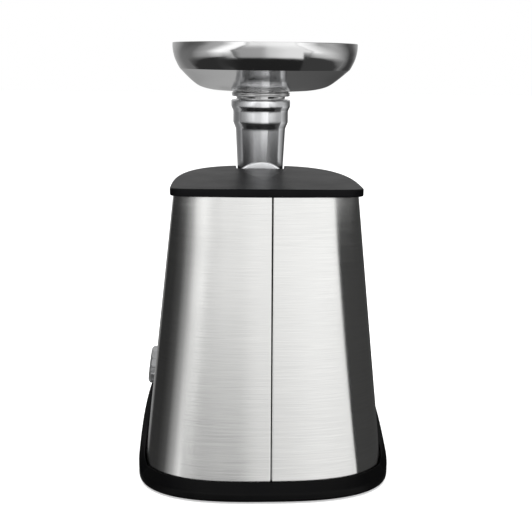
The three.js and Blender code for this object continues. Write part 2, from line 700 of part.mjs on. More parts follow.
// ---- Head: one casting of barrel, spigot, saddle and stepped feed tube ----
function headCasting() {
  const barrel = turnedAlong(
    [[0, SPIGOT.rear], [SPIGOT.outer, SPIGOT.rear], [SPIGOT.outer, BARREL.rear],
      [BARREL.outer - 1, BARREL.rear], [BARREL.outer, BARREL.rear + 1],
      [BARREL.outer, BARREL.front], [0, BARREL.front]],
    OUTPUT_AT, 32);
  const tube = turnedUpright([[0, 245], [24, 245], ...TUBE_PROFILE, [0, TUBE_TOP]], [0, TUBE_AT], 32);
  const saddle = rod(SADDLE_RADIUS, [BARREL.rear, TUBE_AT], [0, 282.8 - SADDLE_RADIUS], 40);
  const bore = rod(BARREL.bore, [196, BARREL.front + 1], OUTPUT_AT, 32);
  const shaftBore = rod(SPIGOT.bore, [SPIGOT.rear - 1, 200], OUTPUT_AT, 24);
  const throat = post(TUBE_BORE, [AXIS_Z, TUBE_TOP + 1], [0, TUBE_AT], 32);
  return cut(join(barrel, tube, saddle), bore, shaftBore, throat);
}
add("head_casting", headCasting(), "castAluminium");

// ---- Auger: a tapering flight round a core, with a square drive tail and a square nose ----
const AUGER = { rear: 198, front: 245, core: 8, reach: 25, turns: 2.2, flight: 4.5 };
function augerFlight() {
  const steps = 30;
  const rings = [];
  for (let i = 0; i <= steps; i += 1) {
    const t = i / steps;
    const angle = 2 * Math.PI * AUGER.turns * t;
    const middle = mix(AUGER.rear + AUGER.flight / 2, AUGER.front - AUGER.flight / 2, t);
    const section = [[5, -1], [AUGER.reach, -0.5], [AUGER.reach, 0.5], [5, 1]];
    rings.push(section.map(([r, w]) => [
      r * Math.cos(angle), yAt(middle + w * AUGER.flight * 0.5), AXIS_Z + r * Math.sin(angle),
    ]));
  }
  const positions = [];
  const quad = (a, b, c, d) => positions.push(...a, ...b, ...c, ...a, ...c, ...d);
  for (let i = 0; i < steps; i += 1) {
    for (let k = 0; k < 4; k += 1) {
      const n = (k + 1) % 4;
      quad(rings[i][k], rings[i][n], rings[i + 1][n], rings[i + 1][k]);
    }
  }
  quad(...[...rings[0]].reverse());
  quad(...rings[steps]);
  const geometry = new THREE.BufferGeometry();
  geometry.setAttribute("position", new THREE.Float32BufferAttribute(positions, 3));
  return outward(geometry);
}
const NOSE_HALF = 4; // half the width of the square that carries the blade
const TAIL_HALF = DRIVE_SQUARE - GAP;
add(
  "auger",
  join(
    turnedAlong(
      [[0, 197.4], [AUGER.core + 3, 197.4], [AUGER.core, 215], [AUGER.core, AUGER.front], [0, AUGER.front]],
      OUTPUT_AT, 16,
    ),
    augerFlight(),
    rod(SPIGOT.bore - 1, [186.6, 198], OUTPUT_AT, 16),
    block([-TAIL_HALF, TAIL_HALF], [175, 187], [AXIS_Z - TAIL_HALF, AXIS_Z + TAIL_HALF]),
    block([-NOSE_HALF, NOSE_HALF], [AUGER.front - 1, 251.6], [AXIS_Z - NOSE_HALF, AXIS_Z + NOSE_HALF]),
    rod(3, [251, 257], OUTPUT_AT, 16),
  ),
  "castAluminium",
);
add(
  "auger_thrust_washer",
  plateBetween([196.3, 197.1], ring(15, OUTPUT_AT, 24), [ring(9.2, OUTPUT_AT, 24)]),
  "whitePlastic",
);

function bladeOutline() {
  const arms = 4;
  const points = [];
  for (let i = 0; i < arms; i += 1) {
    const a = (Math.PI * 2 * i) / arms;
    for (const [r, offset] of [[9, -0.75], [23.5, -0.2], [23.5, 0.12], [10, 0.3]]) {
      points.push([r * Math.cos(a + offset), AXIS_Z + r * Math.sin(a + offset)]);
    }
  }
  return points;
}
const noseHole = [[-1, -1], [1, -1], [1, 1], [-1, 1]].map(([x, z]) => [
  x * (NOSE_HALF + 0.3), AXIS_Z + z * (NOSE_HALF + 0.3),
]);
add("cutting_blade", plateBetween([246, 251.9], bladeOutline(), [noseHole]), "polishedSteel");

function plateHoles() {
  const holes = [ring(3.5, OUTPUT_AT, 12)];
  for (const [count, radius] of [[6, 10], [10, 18], [12, 24.2]]) {
    for (let i = 0; i < count; i += 1) {
      const a = (2 * Math.PI * i) / count;
      holes.push(ring(2.6, [radius * Math.cos(a), AXIS_Z + radius * Math.sin(a)], 6));
    }
  }
  return holes;
}
add(
  "cutting_plate",
  plateBetween([PLATE.rear, PLATE.rear + PLATE.thickness], ring(PLATE.radius, OUTPUT_AT, 36), plateHoles()),
  "polishedSteel",
);

function ringNut() {
  const { rear, lip, front, outer } = RING_NUT;
  const hoop = turnedAlong(
    [[BARREL.outer + GAP, rear], [outer - 2, rear], [outer - 1, rear + 1], [outer - 1, front - 2],
      [outer - 3, front], [24.5, front], [24.5, lip], [PLATE.radius + 1, lip], [PLATE.radius + 1, 252.2],
      [BARREL.outer + GAP, 252.2], [BARREL.outer + GAP, rear]],
    OUTPUT_AT, 32);
  const grips = Array.from({ length: RING_NUT.ribs }, (_, i) => {
    const a = (2 * Math.PI * i) / RING_NUT.ribs;
    const reach = outer - 1.6;
    return rod(1.6, [rear + 3, front - 4], [reach * Math.cos(a), AXIS_Z + reach * Math.sin(a)], 8);
  });
  return join(hoop, ...grips);
}
add("ring_nut", ringNut(), "castAluminium");

// ---- Hopper tray: a dished pan drawn round the throat, with a collar and a spigot into the tube ----
const TRAY_PLAN = {
  rear: TRAY.centre - TRAY.halfLength,
  widest: TRAY.centre,
  front: TRAY.centre + TRAY.halfLength,
  half: TRAY.half,
  rearPower: TRAY.power,
  frontPower: TRAY.power,
};
const SPIGOT_TRAY = { radius: 20.2, bore: 18.6, low: 326 };
const THROAT_Z = 353.8; // where the pan starts, just over the collar
// Outline of the collar from the tube's top up to the pan, as radius and height.
const COLLAR_PROFILE = [
  [25.2, TUBE_TOP + GAP], [25.2, 348.2], [29.4, 348.2], [30.1, 349],
  [30.1, 351.6], [29.4, 352.4], [27, THROAT_Z],
];

function trayRing(share, z, inset = 0) {
  return ROUND.map((angle) => {
    const [x, station] = outlinePoint(grown(TRAY_PLAN, -inset), angle);
    return [share * x, yAt(TUBE_AT + share * (station - TUBE_AT)), z];
  });
}

// A ring of the underside, lifted by the wall: its height eases from the side's curve to the rear's slope.
function underRing(share, sideZ, inset, lift) {
  const [[first, low], [last, high]] = [TRAY_UNDERSIDE[0], TRAY_UNDERSIDE.at(-1)];
  const slopeZ = mix(low, high, (share - first) / (last - first));
  return trayRing(share, sideZ, inset).map(([x, y, z], i) => {
    const [, station] = outlinePoint(TRAY_PLAN, ROUND[i]);
    const rearness = THREE.MathUtils.smoothstep(TRAY.centre - station, 0, TRAY.halfLength);
    return [x, y, mix(z, slopeZ, rearness) + lift];
  });
}

function hopperTray() {
  const { wall, crease, rimZ } = TRAY;
  const outer = [
    ...TRAY_UNDERSIDE.map(([share, z]) => underRing(share, z, crease, 0)),
    ...TRAY_WALL_FACE.map(([inset, z]) => trayRing(1, z, inset)),
  ];
  const inner = [
    ...TRAY_UNDERSIDE.map(([share, z]) => underRing(share, z, crease + 0.6 * wall, wall)),
    ...TRAY_WALL_FACE.map(([inset, z]) => trayRing(1, Math.min(z + 0.3 * wall, rimZ), inset + wall)),
  ];
  const shell = skinned([...outer, ...inner.reverse()]);
  const neck = turnedUpright(
    [[0, SPIGOT_TRAY.low], [SPIGOT_TRAY.radius, SPIGOT_TRAY.low], [SPIGOT_TRAY.radius, TUBE_TOP + GAP],
      ...COLLAR_PROFILE, [0, THROAT_Z]],
    [0, TUBE_AT], 32);
  const throat = post(SPIGOT_TRAY.bore, [SPIGOT_TRAY.low - 1, THROAT_Z + 6], [0, TUBE_AT], 32);
  return cut(join(shell, neck), throat);
}
add("hopper_tray", hopperTray(), "polishedSteel");

export default grinder;
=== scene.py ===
# %% [markdown]
# # An electric meat grinder, modelled and finished for a render
# The real machine is a tower: a black plinth, two bent sheets of brushed stainless steel, a black lid,
# and a polished cast head whose feed tube carries a dished steel tray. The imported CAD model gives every
# place and size. Here each visible part is remade as a fine surface and given the finish of its material.

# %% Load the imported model
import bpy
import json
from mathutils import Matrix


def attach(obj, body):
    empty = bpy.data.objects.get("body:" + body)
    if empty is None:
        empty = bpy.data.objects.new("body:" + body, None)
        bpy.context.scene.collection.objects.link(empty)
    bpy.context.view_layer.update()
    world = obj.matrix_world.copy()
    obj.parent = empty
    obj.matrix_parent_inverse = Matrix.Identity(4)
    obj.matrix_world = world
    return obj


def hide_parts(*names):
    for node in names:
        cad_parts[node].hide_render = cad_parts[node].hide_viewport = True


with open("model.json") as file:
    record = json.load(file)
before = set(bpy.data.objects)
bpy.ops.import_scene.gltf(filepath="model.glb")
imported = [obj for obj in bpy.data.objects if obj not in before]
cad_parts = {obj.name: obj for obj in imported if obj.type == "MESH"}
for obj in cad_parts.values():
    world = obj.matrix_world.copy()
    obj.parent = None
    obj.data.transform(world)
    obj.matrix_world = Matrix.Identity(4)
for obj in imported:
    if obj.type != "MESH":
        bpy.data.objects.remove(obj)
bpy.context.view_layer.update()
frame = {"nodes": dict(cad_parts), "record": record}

import json
import math
import bpy
import numpy as np

# %% [markdown]
# ## Camera
# The machine is seen from behind and a little above, from most of a metre away. A camera is a place and
# three directions: it looks along its own -Z, with +Y up the picture. Yaw, pitch and roll turn those
# directions, and the lens length sets how much it takes in.

# %% Camera behind the machine, looking slightly down
CAMERA_PLACE = (0.0370, 0.8759, 0.3876)
YAW, PITCH, ROLL = -0.0468, 0.2280, 0.0120
LENS_MM, SENSOR_MM = 60.9, 36.0


def camera_directions(yaw, pitch, roll):
    """Right, up and back. Forward is (sin yaw cos pitch, -cos yaw cos pitch, -sin pitch), and roll then
    turns right and up about it."""
    ahead = np.array([math.sin(yaw) * math.cos(pitch), -math.cos(yaw) * math.cos(pitch), -math.sin(pitch)])
    level = np.cross(ahead, [0, 0, 1])
    level /= np.linalg.norm(level)
    upright = np.cross(level, ahead)
    right = math.cos(roll) * level + math.sin(roll) * upright
    return right, np.cross(right, ahead), -ahead


camera_data = bpy.data.cameras.new("camera")
camera_data.lens, camera_data.sensor_width = LENS_MM, SENSOR_MM
camera_data.clip_start, camera_data.clip_end = 0.05, 40
camera = bpy.data.objects.new("camera", camera_data)
bpy.context.scene.collection.objects.link(camera)
bpy.context.scene.camera = camera
turn = np.eye(4)
turn[:3, :3] = np.array(camera_directions(YAW, PITCH, ROLL)).T
turn[:3, 3] = CAMERA_PLACE
camera.matrix_world = turn.T
print("camera looks along", [round(float(-v), 3) for v in turn[:3, 2]])

# %% [markdown]
# ## Two helpers for every finish
# Colours are written as the hex codes a paint program shows, and turned to the linear light that the
# renderer adds up. Every node of every finish is added by one small function, so that a finish reads as
# a list of what it is made of.

# %% Colour and node helpers
def light_of(code, strength=1.0):
    """Linear RGBA of an sRGB hex code: c/12.92 below 0.04045, else ((c + 0.055) / 1.055) ** 2.4."""
    c = np.array([int(code[i:i + 2], 16) for i in (1, 3, 5)]) / 255
    linear = np.where(c <= 0.04045, c / 12.92, ((c + 0.055) / 1.055) ** 2.4) * strength
    return (*linear.tolist(), 1.0)


def put(tree, kind, inputs=None, stops=None, **settings):
    """Adds a node with its settings, its input values or links, and a ramp's stops, and returns it."""
    node = tree.nodes.new("ShaderNode" + kind)
    for name, value in settings.items():
        setattr(node, name, value)
    for key, value in (inputs or {}).items():
        if isinstance(value, bpy.types.NodeSocket):
            tree.links.new(value, node.inputs[key])
        else:
            node.inputs[key].default_value = value
    for i, (place, colour) in enumerate(stops or []):
        spots = node.color_ramp.elements
        spot = spots[i] if i < len(spots) else spots.new(place)
        spot.position, spot.color = place, colour
    return node


# %% [markdown]
# ## Studio
# Polished and brushed steel show the room more than themselves, so the room is the light: a wide white
# screen behind the camera, black flags at both sides and a white sweep behind the machine. Going round
# the horizon, the brightness is a ramp of the direction's azimuth. The steel sheets taper, so an upright
# edge would look tilted in them: each edge leans with height, the azimuth plus a constant times x times z.
# A second ramp takes over just below the horizon, and others for the bench and the ceiling.

# %% The room as a ramp round the horizon
ROUND_THE_ROOM = [  # azimuth in degrees (0 behind the camera, 90 towards the knob), brightness
    (-180, 0.60), (-165, 0.50), (-152, 0.30), (-140, 0.12), (-128, 0.10), (-112, 0.30), (-95, 0.55),
    (-70, 0.45), (-52, 1.10), (-38, 1.48), (-33.5, 1.42), (-31.5, 0.80), (-29.5, 1.36), (-12, 1.28),
    (-2, 1.26), (4, 1.22), (19, 1.24), (21, 0.88), (23.5, 0.72), (24.5, 1.30), (29, 1.60), (36, 1.46),
    (44, 1.35), (60, 0.55), (80, 0.50), (98, 0.16), (118, 0.10), (132, 0.14), (146, 0.34), (164, 0.50),
    (180, 0.60)]
LOWER_WALL = [  # just below the horizon the screen on the knob's side falls off
    (-180, 0.42), (-174, 0.10), (-150, 0.05), (-128, 0.05), (-90, 0.45), (-52, 0.90), (-38, 1.25),
    (-33.5, 1.20), (-31.5, 0.66), (-29.5, 1.06), (-10, 1.02), (-1, 0.80), (2, 0.46), (19, 0.42),
    (21, 0.30), (24, 0.22), (25, 1.20), (36, 1.55), (44, 1.30), (60, 0.55), (98, 0.18), (132, 0.20),
    (164, 0.34), (180, 0.42)]
BENCH = [  # looking steeply down: pale on the knob's side, dark on the other
    (-180, 0.20), (-150, 0.10), (-128, 0.04), (-92, 0.05), (-64, 0.30), (-48, 0.02), (0, 0.02),
    (46, 0.02), (62, 0.42), (92, 0.36), (128, 0.30), (150, 0.28), (180, 0.24)]
CEILING = [(-180, 0.95), (-90, 0.75), (0, 1.0), (90, 0.75), (180, 0.95)]
EDGE_LEAN, LEAN_LIMIT = 2.3, 0.25  # the constant of the lean, and the height z where it stops growing
world = bpy.data.worlds.new("studio")
bpy.context.scene.world = world
world.use_nodes = True
room = world.node_tree
room.nodes.clear()
direction = put(room, "SeparateXYZ", {0: put(room, "TexCoord").outputs["Generated"]})
azimuth = put(room, "Math", {0: direction.outputs["X"], 1: direction.outputs["Y"]}, operation="ARCTAN2")
lean = put(room, "MapRange", {0: direction.outputs["Z"], 1: -LEAN_LIMIT, 2: LEAN_LIMIT,
                              3: -EDGE_LEAN * LEAN_LIMIT, 4: EDGE_LEAN * LEAN_LIMIT})
swing = put(room, "Math", {0: direction.outputs["X"], 1: lean.outputs[0]}, operation="MULTIPLY")
leaning = put(room, "Math", {0: azimuth.outputs[0], 1: swing.outputs[0]}, operation="ADD")
azimuth_share = put(room, "MapRange", {0: leaning.outputs[0], 1: -math.pi, 2: math.pi, 3: 0.0, 4: 1.0})
print("studio ramp has", len(ROUND_THE_ROOM), "stops")


# %% The four ramps, one above the other
def height_share(low, high):
    """0 below the sine low of the elevation, 1 above the sine high, easing between them."""
    return put(room, "MapRange", {0: direction.outputs["Z"], 1: low, 2: high, 3: 0.0, 4: 1.0},
               interpolation_type="SMOOTHSTEP").outputs[0]


def ring_of_light(name, stops):
    """A ramp round the horizon from (azimuth, brightness) pairs: place = azimuth / 360 + 1/2."""
    spots = [(az / 360 + 0.5, (v, v, v, 1.0)) for az, v in stops]
    node = put(room, "ValToRGB", {0: azimuth_share.outputs[0]}, stops=spots, name=name)
    return node.outputs["Color"]


def blended(share, low_colour, high_colour):
    """low_colour where share is 0 and high_colour where it is 1."""
    return put(room, "Mix", {0: share, 6: low_colour, 7: high_colour}, data_type="RGBA").outputs[2]


horizon = ring_of_light("horizon", ROUND_THE_ROOM)
bench = ring_of_light("bench", BENCH)
ceiling = ring_of_light("ceiling", CEILING)
lower = ring_of_light("lower_wall", LOWER_WALL)
surround = blended(height_share(-0.20, 0.07), lower, horizon)
surround = blended(height_share(-0.66, -0.46), bench, surround)
surround = blended(height_share(0.30, 0.62), surround, ceiling)
print("bench, lower wall, horizon and ceiling blend into one room")

# %% [markdown]
# ## Two black flags
# A photographer hangs black boards close beside shiny metal, so that its sides turn dark and its shape
# reads. These two are curved, lean with the taper of the body, and are seen only in mirrors. The board on
# the knob's side thins out towards the camera, which gives one dark band a soft edge.

# %% Curved boards beside the machine
FLAG_ROWS = [(-0.16, 1.0), (0.265, 1.0), (0.320, 0.0)]  # heights in metres, and the share of the veil left
FLAG_MIDDLE = 0.16


def flag(name, corners, lean, veil, brightness):
    """A board through (x, y) corners at its middle height. It moves by lean for each metre up, and veil is
    its cover, 0 to 1, at each corner."""
    points = [(x + lean[0] * (z - FLAG_MIDDLE), y + lean[1] * (z - FLAG_MIDDLE), z)
              for z, _ in FLAG_ROWS for x, y in corners]
    count = len(corners)
    starts = [row * count + i for row in range(len(FLAG_ROWS) - 1) for i in range(count - 1)]
    quads = [(k, k + 1, count + k + 1, count + k) for k in starts]
    mesh = bpy.data.meshes.new(name)
    mesh.from_pydata(points, [], quads)
    cover = mesh.attributes.new("veil", "FLOAT", "POINT")
    covers = np.outer([left for _, left in FLAG_ROWS], veil)
    cover.data.foreach_set("value", covers.astype(np.float32).ravel())
    board = bpy.data.objects.new(name, mesh)
    bpy.context.scene.collection.objects.link(board)
    board.visible_camera = board.visible_diffuse = board.visible_shadow = False
    board.visible_transmission = board.visible_volume_scatter = False
    cloth = bpy.data.materials.new(name + "_cloth")
    cloth.use_nodes = True
    cloth.node_tree.nodes.clear()
    dark = put(cloth.node_tree, "Emission", {"Color": light_of("#FFFFFF"), "Strength": brightness})
    clear = put(cloth.node_tree, "BsdfTransparent")
    share = put(cloth.node_tree, "Attribute", attribute_name="veil")
    mixed = put(cloth.node_tree, "MixShader",
                {0: share.outputs["Fac"], 1: clear.outputs[0], 2: dark.outputs[0]})
    put(cloth.node_tree, "OutputMaterial", {"Surface": mixed.outputs[0]})
    mesh.materials.append(cloth)
    print(name, "is a board of", len(quads), "panels")


flag("flag_right", [(-0.225, 0.261), (-0.262, 0.190), (-0.285, 0.100), (-0.290, 0.0), (-0.270, -0.070),
                    (-0.255, -0.110)], (0.15, 0.282), [1, 1, 1, 1, 1, 0.6], 0.055)
flag("flag_left", [(0.175, 0.315), (0.205, 0.290), (0.232, 0.255), (0.262, 0.195), (0.285, 0.100),
                   (0.290, 0.0), (0.265, -0.09), (0.250, -0.120)],
     (-0.135, 0.186), [0.0, 0.20, 0.64, 0.93, 1, 1, 1, 0.4], 0.035)

# %% [markdown]
# ## Background, softbox and floor
# The camera looks straight into plain white, and everything else sees the room. A large softbox overhead
# puts a soft shadow under the plinth. The floor is white paper that glows a little, so it joins the
# background without a line.

# %% White for the camera, the room for everything else
seen = put(room, "Background", {"Color": light_of("#FFFFFF"), "Strength": 1.0})
felt = put(room, "Background", {"Color": surround, "Strength": 1.0})
straight = put(room, "LightPath")
both = put(room, "MixShader",
           {0: straight.outputs["Is Camera Ray"], 1: felt.outputs[0], 2: seen.outputs[0]})
put(room, "OutputWorld", {"Surface": both.outputs[0]})
print("the studio has", len(room.nodes), "nodes")

# %% Overhead softbox and the floor
softbox_data = bpy.data.lights.new("softbox", "AREA")
softbox_data.shape, softbox_data.size, softbox_data.size_y = "RECTANGLE", 1.6, 1.2
softbox_data.energy = 26
softbox = bpy.data.objects.new("softbox", softbox_data)
softbox.location = (0.15, 0.25, 1.75)
softbox.visible_glossy = False  # the ceiling's ramp already stands for it in the polished tray
bpy.context.scene.collection.objects.link(softbox)

FLOOR_HALF = 9.0
floor_mesh = bpy.data.meshes.new("floor")
floor_corners = [(x * FLOOR_HALF, y * FLOOR_HALF, 0) for x, y in ((-1, -1), (1, -1), (1, 1), (-1, 1))]
floor_mesh.from_pydata(floor_corners, [], [(0, 1, 2, 3)])
floor = bpy.data.objects.new("floor", floor_mesh)
bpy.context.scene.collection.objects.link(floor)
floor.visible_glossy = False  # the steel mirrors the room's ramp, which already holds the bench
paper = bpy.data.materials.new("white_paper_sweep")
paper.use_nodes = True
for socket, value in {"Base Color": light_of("#FAFAFA"), "Roughness": 0.9, "Specular IOR Level": 0.1,
                      "Emission Color": light_of("#FFFFFF"), "Emission Strength": 0.45}.items():
    paper.node_tree.nodes["Principled BSDF"].inputs[socket].default_value = value
floor_mesh.materials.append(paper)
bpy.context.scene.view_settings.view_transform = "Standard"
print("softbox of", softbox_data.energy, "W over a floor", 2 * FLOOR_HALF, "m wide")

# %% [markdown]
# ## Shaping helpers
# Almost every part is a stack of closed rings of points. A skin through the rings is the surface, and its
# two ends are closed by a fan, by folding a thin ring onto itself, or by joining the last ring to the
# first. All coordinates are millimetres until the mesh is made. A station is a place along the machine,
# counted forwards from its rear, so y = 140.5 - station.

# %% Skins, turned shapes and eased corners
DATUM_Y = 140.5
MM = 0.001


def grid_of_quads(rows, columns):
    """Corner numbers of the quads between neighbouring rings, each ring closed on itself."""
    j, i = np.meshgrid(np.arange(rows - 1), np.arange(columns), indexing="ij")
    k = (i + 1) % columns
    here, there = j * columns, (j + 1) * columns
    return np.stack([here + i, here + k, there + k, there + i], -1).reshape(-1, 4)


def skin(rings, ends="fan"):
    """Points and faces of a closed skin through rings of shape (rows, columns, 3). Of its ends, 'fan' closes
    each round its middle point, 'fold' joins point i to point n-1-i, and 'loop' joins the last ring to the
    first."""
    rings = np.asarray(rings, float)
    rows, columns = rings.shape[:2]
    points, faces = rings.reshape(-1, 3), grid_of_quads(rows, columns).tolist()
    i = np.arange(columns)
    last = (rows - 1) * columns
    if ends == "loop":
        k = (i + 1) % columns
        faces += np.stack([last + i, last + k, k, i], -1).tolist()
    elif ends == "fold":
        i = np.arange(columns // 2 - 1)
        strip = np.stack([i, columns - 1 - i, columns - 2 - i, i + 1], -1)
        faces += strip.tolist() + (last + strip[:, ::-1]).tolist()
    else:
        k, n = (i + 1) % columns, len(points)
        points = np.vstack([points, rings[0].mean(0), rings[-1].mean(0)])
        faces += np.stack([k, i, np.full(columns, n)], -1).tolist()
        faces += np.stack([last + i, last + k, np.full(columns, n + 1)], -1).tolist()
    return points, faces


def turned(profile, axis, centre, sides=128, flute=None):
    """Rings of a profile of (radius, height) turned about a line. Axis 'up' turns about the vertical through
    (x, station). Axis 'along' turns about the line through (x, z), with stations as heights. The flute, a
    function of angle and height, adds to the radius."""
    profile = np.asarray(profile, float)
    angle = np.linspace(0, 2 * np.pi, sides, endpoint=False)
    radius, height = profile[:, :1], profile[:, 1:]
    r = radius + (flute(angle[None, :], height) if flute else 0 * angle[None, :])
    h = height + 0 * angle[None, :]
    if axis == "up":
        return np.stack([centre[0] + r * np.cos(angle), DATUM_Y - centre[1] + r * np.sin(angle), h], -1)
    return np.stack([centre[0] + r * np.cos(angle), DATUM_Y - h, centre[1] + r * np.sin(angle)], -1)


def eased(points, radius, steps=4, closed=False):
    """Rounds each corner of a line of points: the corner P becomes the curve (1-t)^2 A + 2t(1-t) P + t^2 B,
    where A and B are the radius, or at most 0.48 of the side, back and on from P."""
    p = np.asarray(points, float)
    before, after = np.roll(p, 1, 0) - p, np.roll(p, -1, 0) - p
    size = lambda v: np.maximum(np.linalg.norm(v, axis=-1, keepdims=True), 1e-9)
    a = p + before * np.minimum(radius / size(before), 0.48)
    b = p + after * np.minimum(radius / size(after), 0.48)
    t = np.linspace(0, 1, steps + 1).reshape((1, -1) + (1,) * (p.ndim - 1))
    curve = (1 - t) ** 2 * a[:, None] + 2 * t * (1 - t) * p[:, None] + t ** 2 * b[:, None]
    if closed:
        return curve.reshape((-1,) + p.shape[1:])
    inner = curve[1:-1].reshape((-1,) + p.shape[1:])
    return np.concatenate([p[:1], inner, p[-1:]])


def densify(line, gap):
    """Puts extra points on a line of points so that no two are further apart than the gap."""
    line = np.asarray(line, float)
    run = np.concatenate([[0], np.cumsum(np.linalg.norm(np.diff(line, axis=0), axis=1))])
    extra = np.arange(gap, run[-1], gap)
    at = np.unique(np.concatenate([run, extra]))
    return np.stack([np.interp(at, run, line[:, k]) for k in range(line.shape[1])], -1)


# %% [markdown]
# ## From points to pieces
# A shape becomes a mesh in metres, other shapes are joined to it or cut out of it, and then it is smoothed,
# given its finish and handed to the moving body that it rides on.

# %% Meshes, cuts and finished pieces
def raw_mesh(name, points, faces):
    """A mesh in metres whose faces point outwards: six times the volume, the sum of a . (b x c) over its
    triangles, must be positive."""
    points = np.asarray(points, float) * MM
    volume = 0.0
    for size in (3, 4):
        group = np.array([f for f in faces if len(f) == size], int).reshape(-1, size)
        for k in range(1, size - 1):
            a, b, c = points[group[:, 0]], points[group[:, k]], points[group[:, k + 1]]
            volume += float(np.einsum("ij,ij->i", a, np.cross(b, c)).sum())
    if volume < 0:
        faces = [f[::-1] for f in faces]
    mesh = bpy.data.meshes.new(name)
    mesh.from_pydata(points.tolist(), [], faces)
    mesh.validate()
    return mesh


def blank(name, shape):
    """A new object from (points, faces)."""
    thing = bpy.data.objects.new(name, raw_mesh(name, *shape))
    bpy.context.scene.collection.objects.link(thing)
    return thing


def carved(thing, joined=(), cut=()):
    """Joins some shapes to the object and cuts others out, then keeps the result as its mesh."""
    tools = []
    for operation, shapes in (("UNION", joined), ("DIFFERENCE", cut)):
        for shape in shapes:
            tool = blank(thing.name + "_tool", shape)
            step = thing.modifiers.new("carve", "BOOLEAN")
            step.operation, step.object, step.solver = operation, tool, "MANIFOLD"
            tools.append(tool)
    bpy.context.view_layer.update()
    made = bpy.data.meshes.new_from_object(thing.evaluated_get(bpy.context.evaluated_depsgraph_get()))
    thing.modifiers.clear()
    thing.data = made
    for tool in tools:
        bpy.data.objects.remove(tool)
    return thing


def finished(thing, body, finish, nodes=(), crease=32):
    """Smooths all but the corners sharper than the crease, gives the finish, and hands the piece to its
    body."""
    mesh = thing.data
    mesh.shade_smooth()
    mesh.set_sharp_from_angle(angle=math.radians(crease))
    mesh.materials.clear()
    mesh.materials.append(finish)
    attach(thing, body)
    if nodes:
        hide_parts(*nodes)
    print(thing.name, len(mesh.vertices), "points,", len(mesh.polygons), "faces")
    return thing


# %% [markdown]
# ## Outlines
# Seen from above, the plinth, the body and the lid are superellipses: squarer than an ellipse, rounder
# than a box. Each has its own power for the half behind its widest station and the half ahead of it.
# Written by the angle round the middle, the distance out is (|cos/half|^n + |sin/reach|^n)^(-1/n).

# %% Outline functions
PLINTH = dict(rear=-4.5, widest=72, front=285.5, half=118.5, rear_power=2.75, front_power=2.7)
BODY_FOOT = dict(rear=6, widest=75, front=276, half=112, rear_power=2.75, front_power=2.7)
BODY_TOP = dict(rear=39, widest=68, front=214, half=83.2, rear_power=2.75, front_power=2.7)
LID = dict(rear=37, widest=60, front=217, half=85.5, rear_power=6, front_power=2.7)
FOOT_Z, LID_Z = 18, 269


def grown(plan, margin):
    """The outline with every side moved out by the margin."""
    return plan | dict(rear=plan["rear"] - margin, front=plan["front"] + margin, half=plan["half"] + margin)


def body_plan(z, margin=0):
    """The body's outline at a height: each size runs in a straight line from foot to top."""
    t = (np.asarray(z, float) - FOOT_Z) / (LID_Z - FOOT_Z)
    return grown({k: BODY_FOOT[k] + (BODY_TOP[k] - BODY_FOOT[k]) * t for k in BODY_FOOT}, margin)


def outline(plan, angle):
    """x and station of the outline at an angle: -90 degrees at the rear, 0 on the knob's side, 90 ahead."""
    c, s = np.cos(np.radians(angle)), np.sin(np.radians(angle))
    n = np.where(s < 0, plan["rear_power"], plan["front_power"])
    reach = np.where(s < 0, plan["widest"] - plan["rear"], plan["front"] - plan["widest"])
    out = (np.abs(c / plan["half"]) ** n + np.abs(s / reach) ** n) ** (-1 / n)
    return out * c, plan["widest"] + out * s


def ring_at(plan, z, angle):
    """A closed ring of points round the outline, at one height or a height for each point."""
    x, station = outline(plan, angle)
    return np.stack([x, DATUM_Y - station, z + 0 * x], -1)


ALL_ROUND = np.linspace(-90, 270, 288, endpoint=False)
print("body at mid height is", round(2 * float(body_plan(143)["half"]), 1), "mm wide")

# %% [markdown]
# ## Stainless steel sheet, brushed
# The wrap is 430 stainless sheet, 0.9 mm thick, brushed along its length in the mill and then bent round
# the machine, so its scratches run level. Scratches scatter light across themselves: the blur goes up and
# down, and the edges of the room's light and dark stay crisp sideways. Real scratches are about 0.1 mm
# apart; here they are drawn 0.45 mm apart so that they show.

# %% Brushed stainless finish
def open_finish(name, colour, roughness, metallic=0.0):
    """A new material with its node tree, its shader with the plain values set, and object coordinates."""
    finish = bpy.data.materials.new(name)
    finish.use_nodes = True
    tree = finish.node_tree
    shader = tree.nodes["Principled BSDF"]
    shader.inputs["Base Color"].default_value = light_of(colour)
    shader.inputs["Roughness"].default_value = roughness
    shader.inputs["Metallic"].default_value = metallic
    place = put(tree, "TexCoord").outputs["Object"]
    return finish, tree, shader, place


def spread(tree, source, low, high, low_in=0.3, high_in=0.7):
    """Takes a pattern's middle range to a range of values."""
    return put(tree, "MapRange", {0: source, 1: low_in, 2: high_in, 3: low, 4: high}).outputs[0]


def per_mm(mm):
    """How many features of that size fit in a metre, which is a noise pattern's scale."""
    return 1000 / mm


brushed_stainless, tree, steel, place = open_finish("brushed_stainless_430", "#DCDCDA", 0.20, 1.0)
level = put(tree, "Mapping", {"Vector": place, "Scale": (0.012, 0.012, 1.0)})
scratches = put(tree, "TexNoise", {"Vector": level.outputs[0], "Scale": per_mm(0.45), "Detail": 5.0,
                                   "Roughness": 0.62})
long_scratches = put(tree, "TexNoise", {"Vector": level.outputs[0], "Scale": per_mm(1.7), "Detail": 2.0})
cloudy = put(tree, "TexNoise", {"Vector": place, "Scale": per_mm(60), "Detail": 3.0})
tint = put(tree, "Mix", {0: scratches.outputs[0], 6: light_of("#C8C8C7"), 7: light_of("#EEEEEC")},
           data_type="RGBA")
tree.links.new(tint.outputs[2], steel.inputs["Base Color"])
blur = put(tree, "Math", {0: spread(tree, scratches.outputs[0], 0.14, 0.19),
                          1: spread(tree, cloudy.outputs[0], -0.02, 0.03)}, operation="ADD")
tree.links.new(blur.outputs[0], steel.inputs["Roughness"])
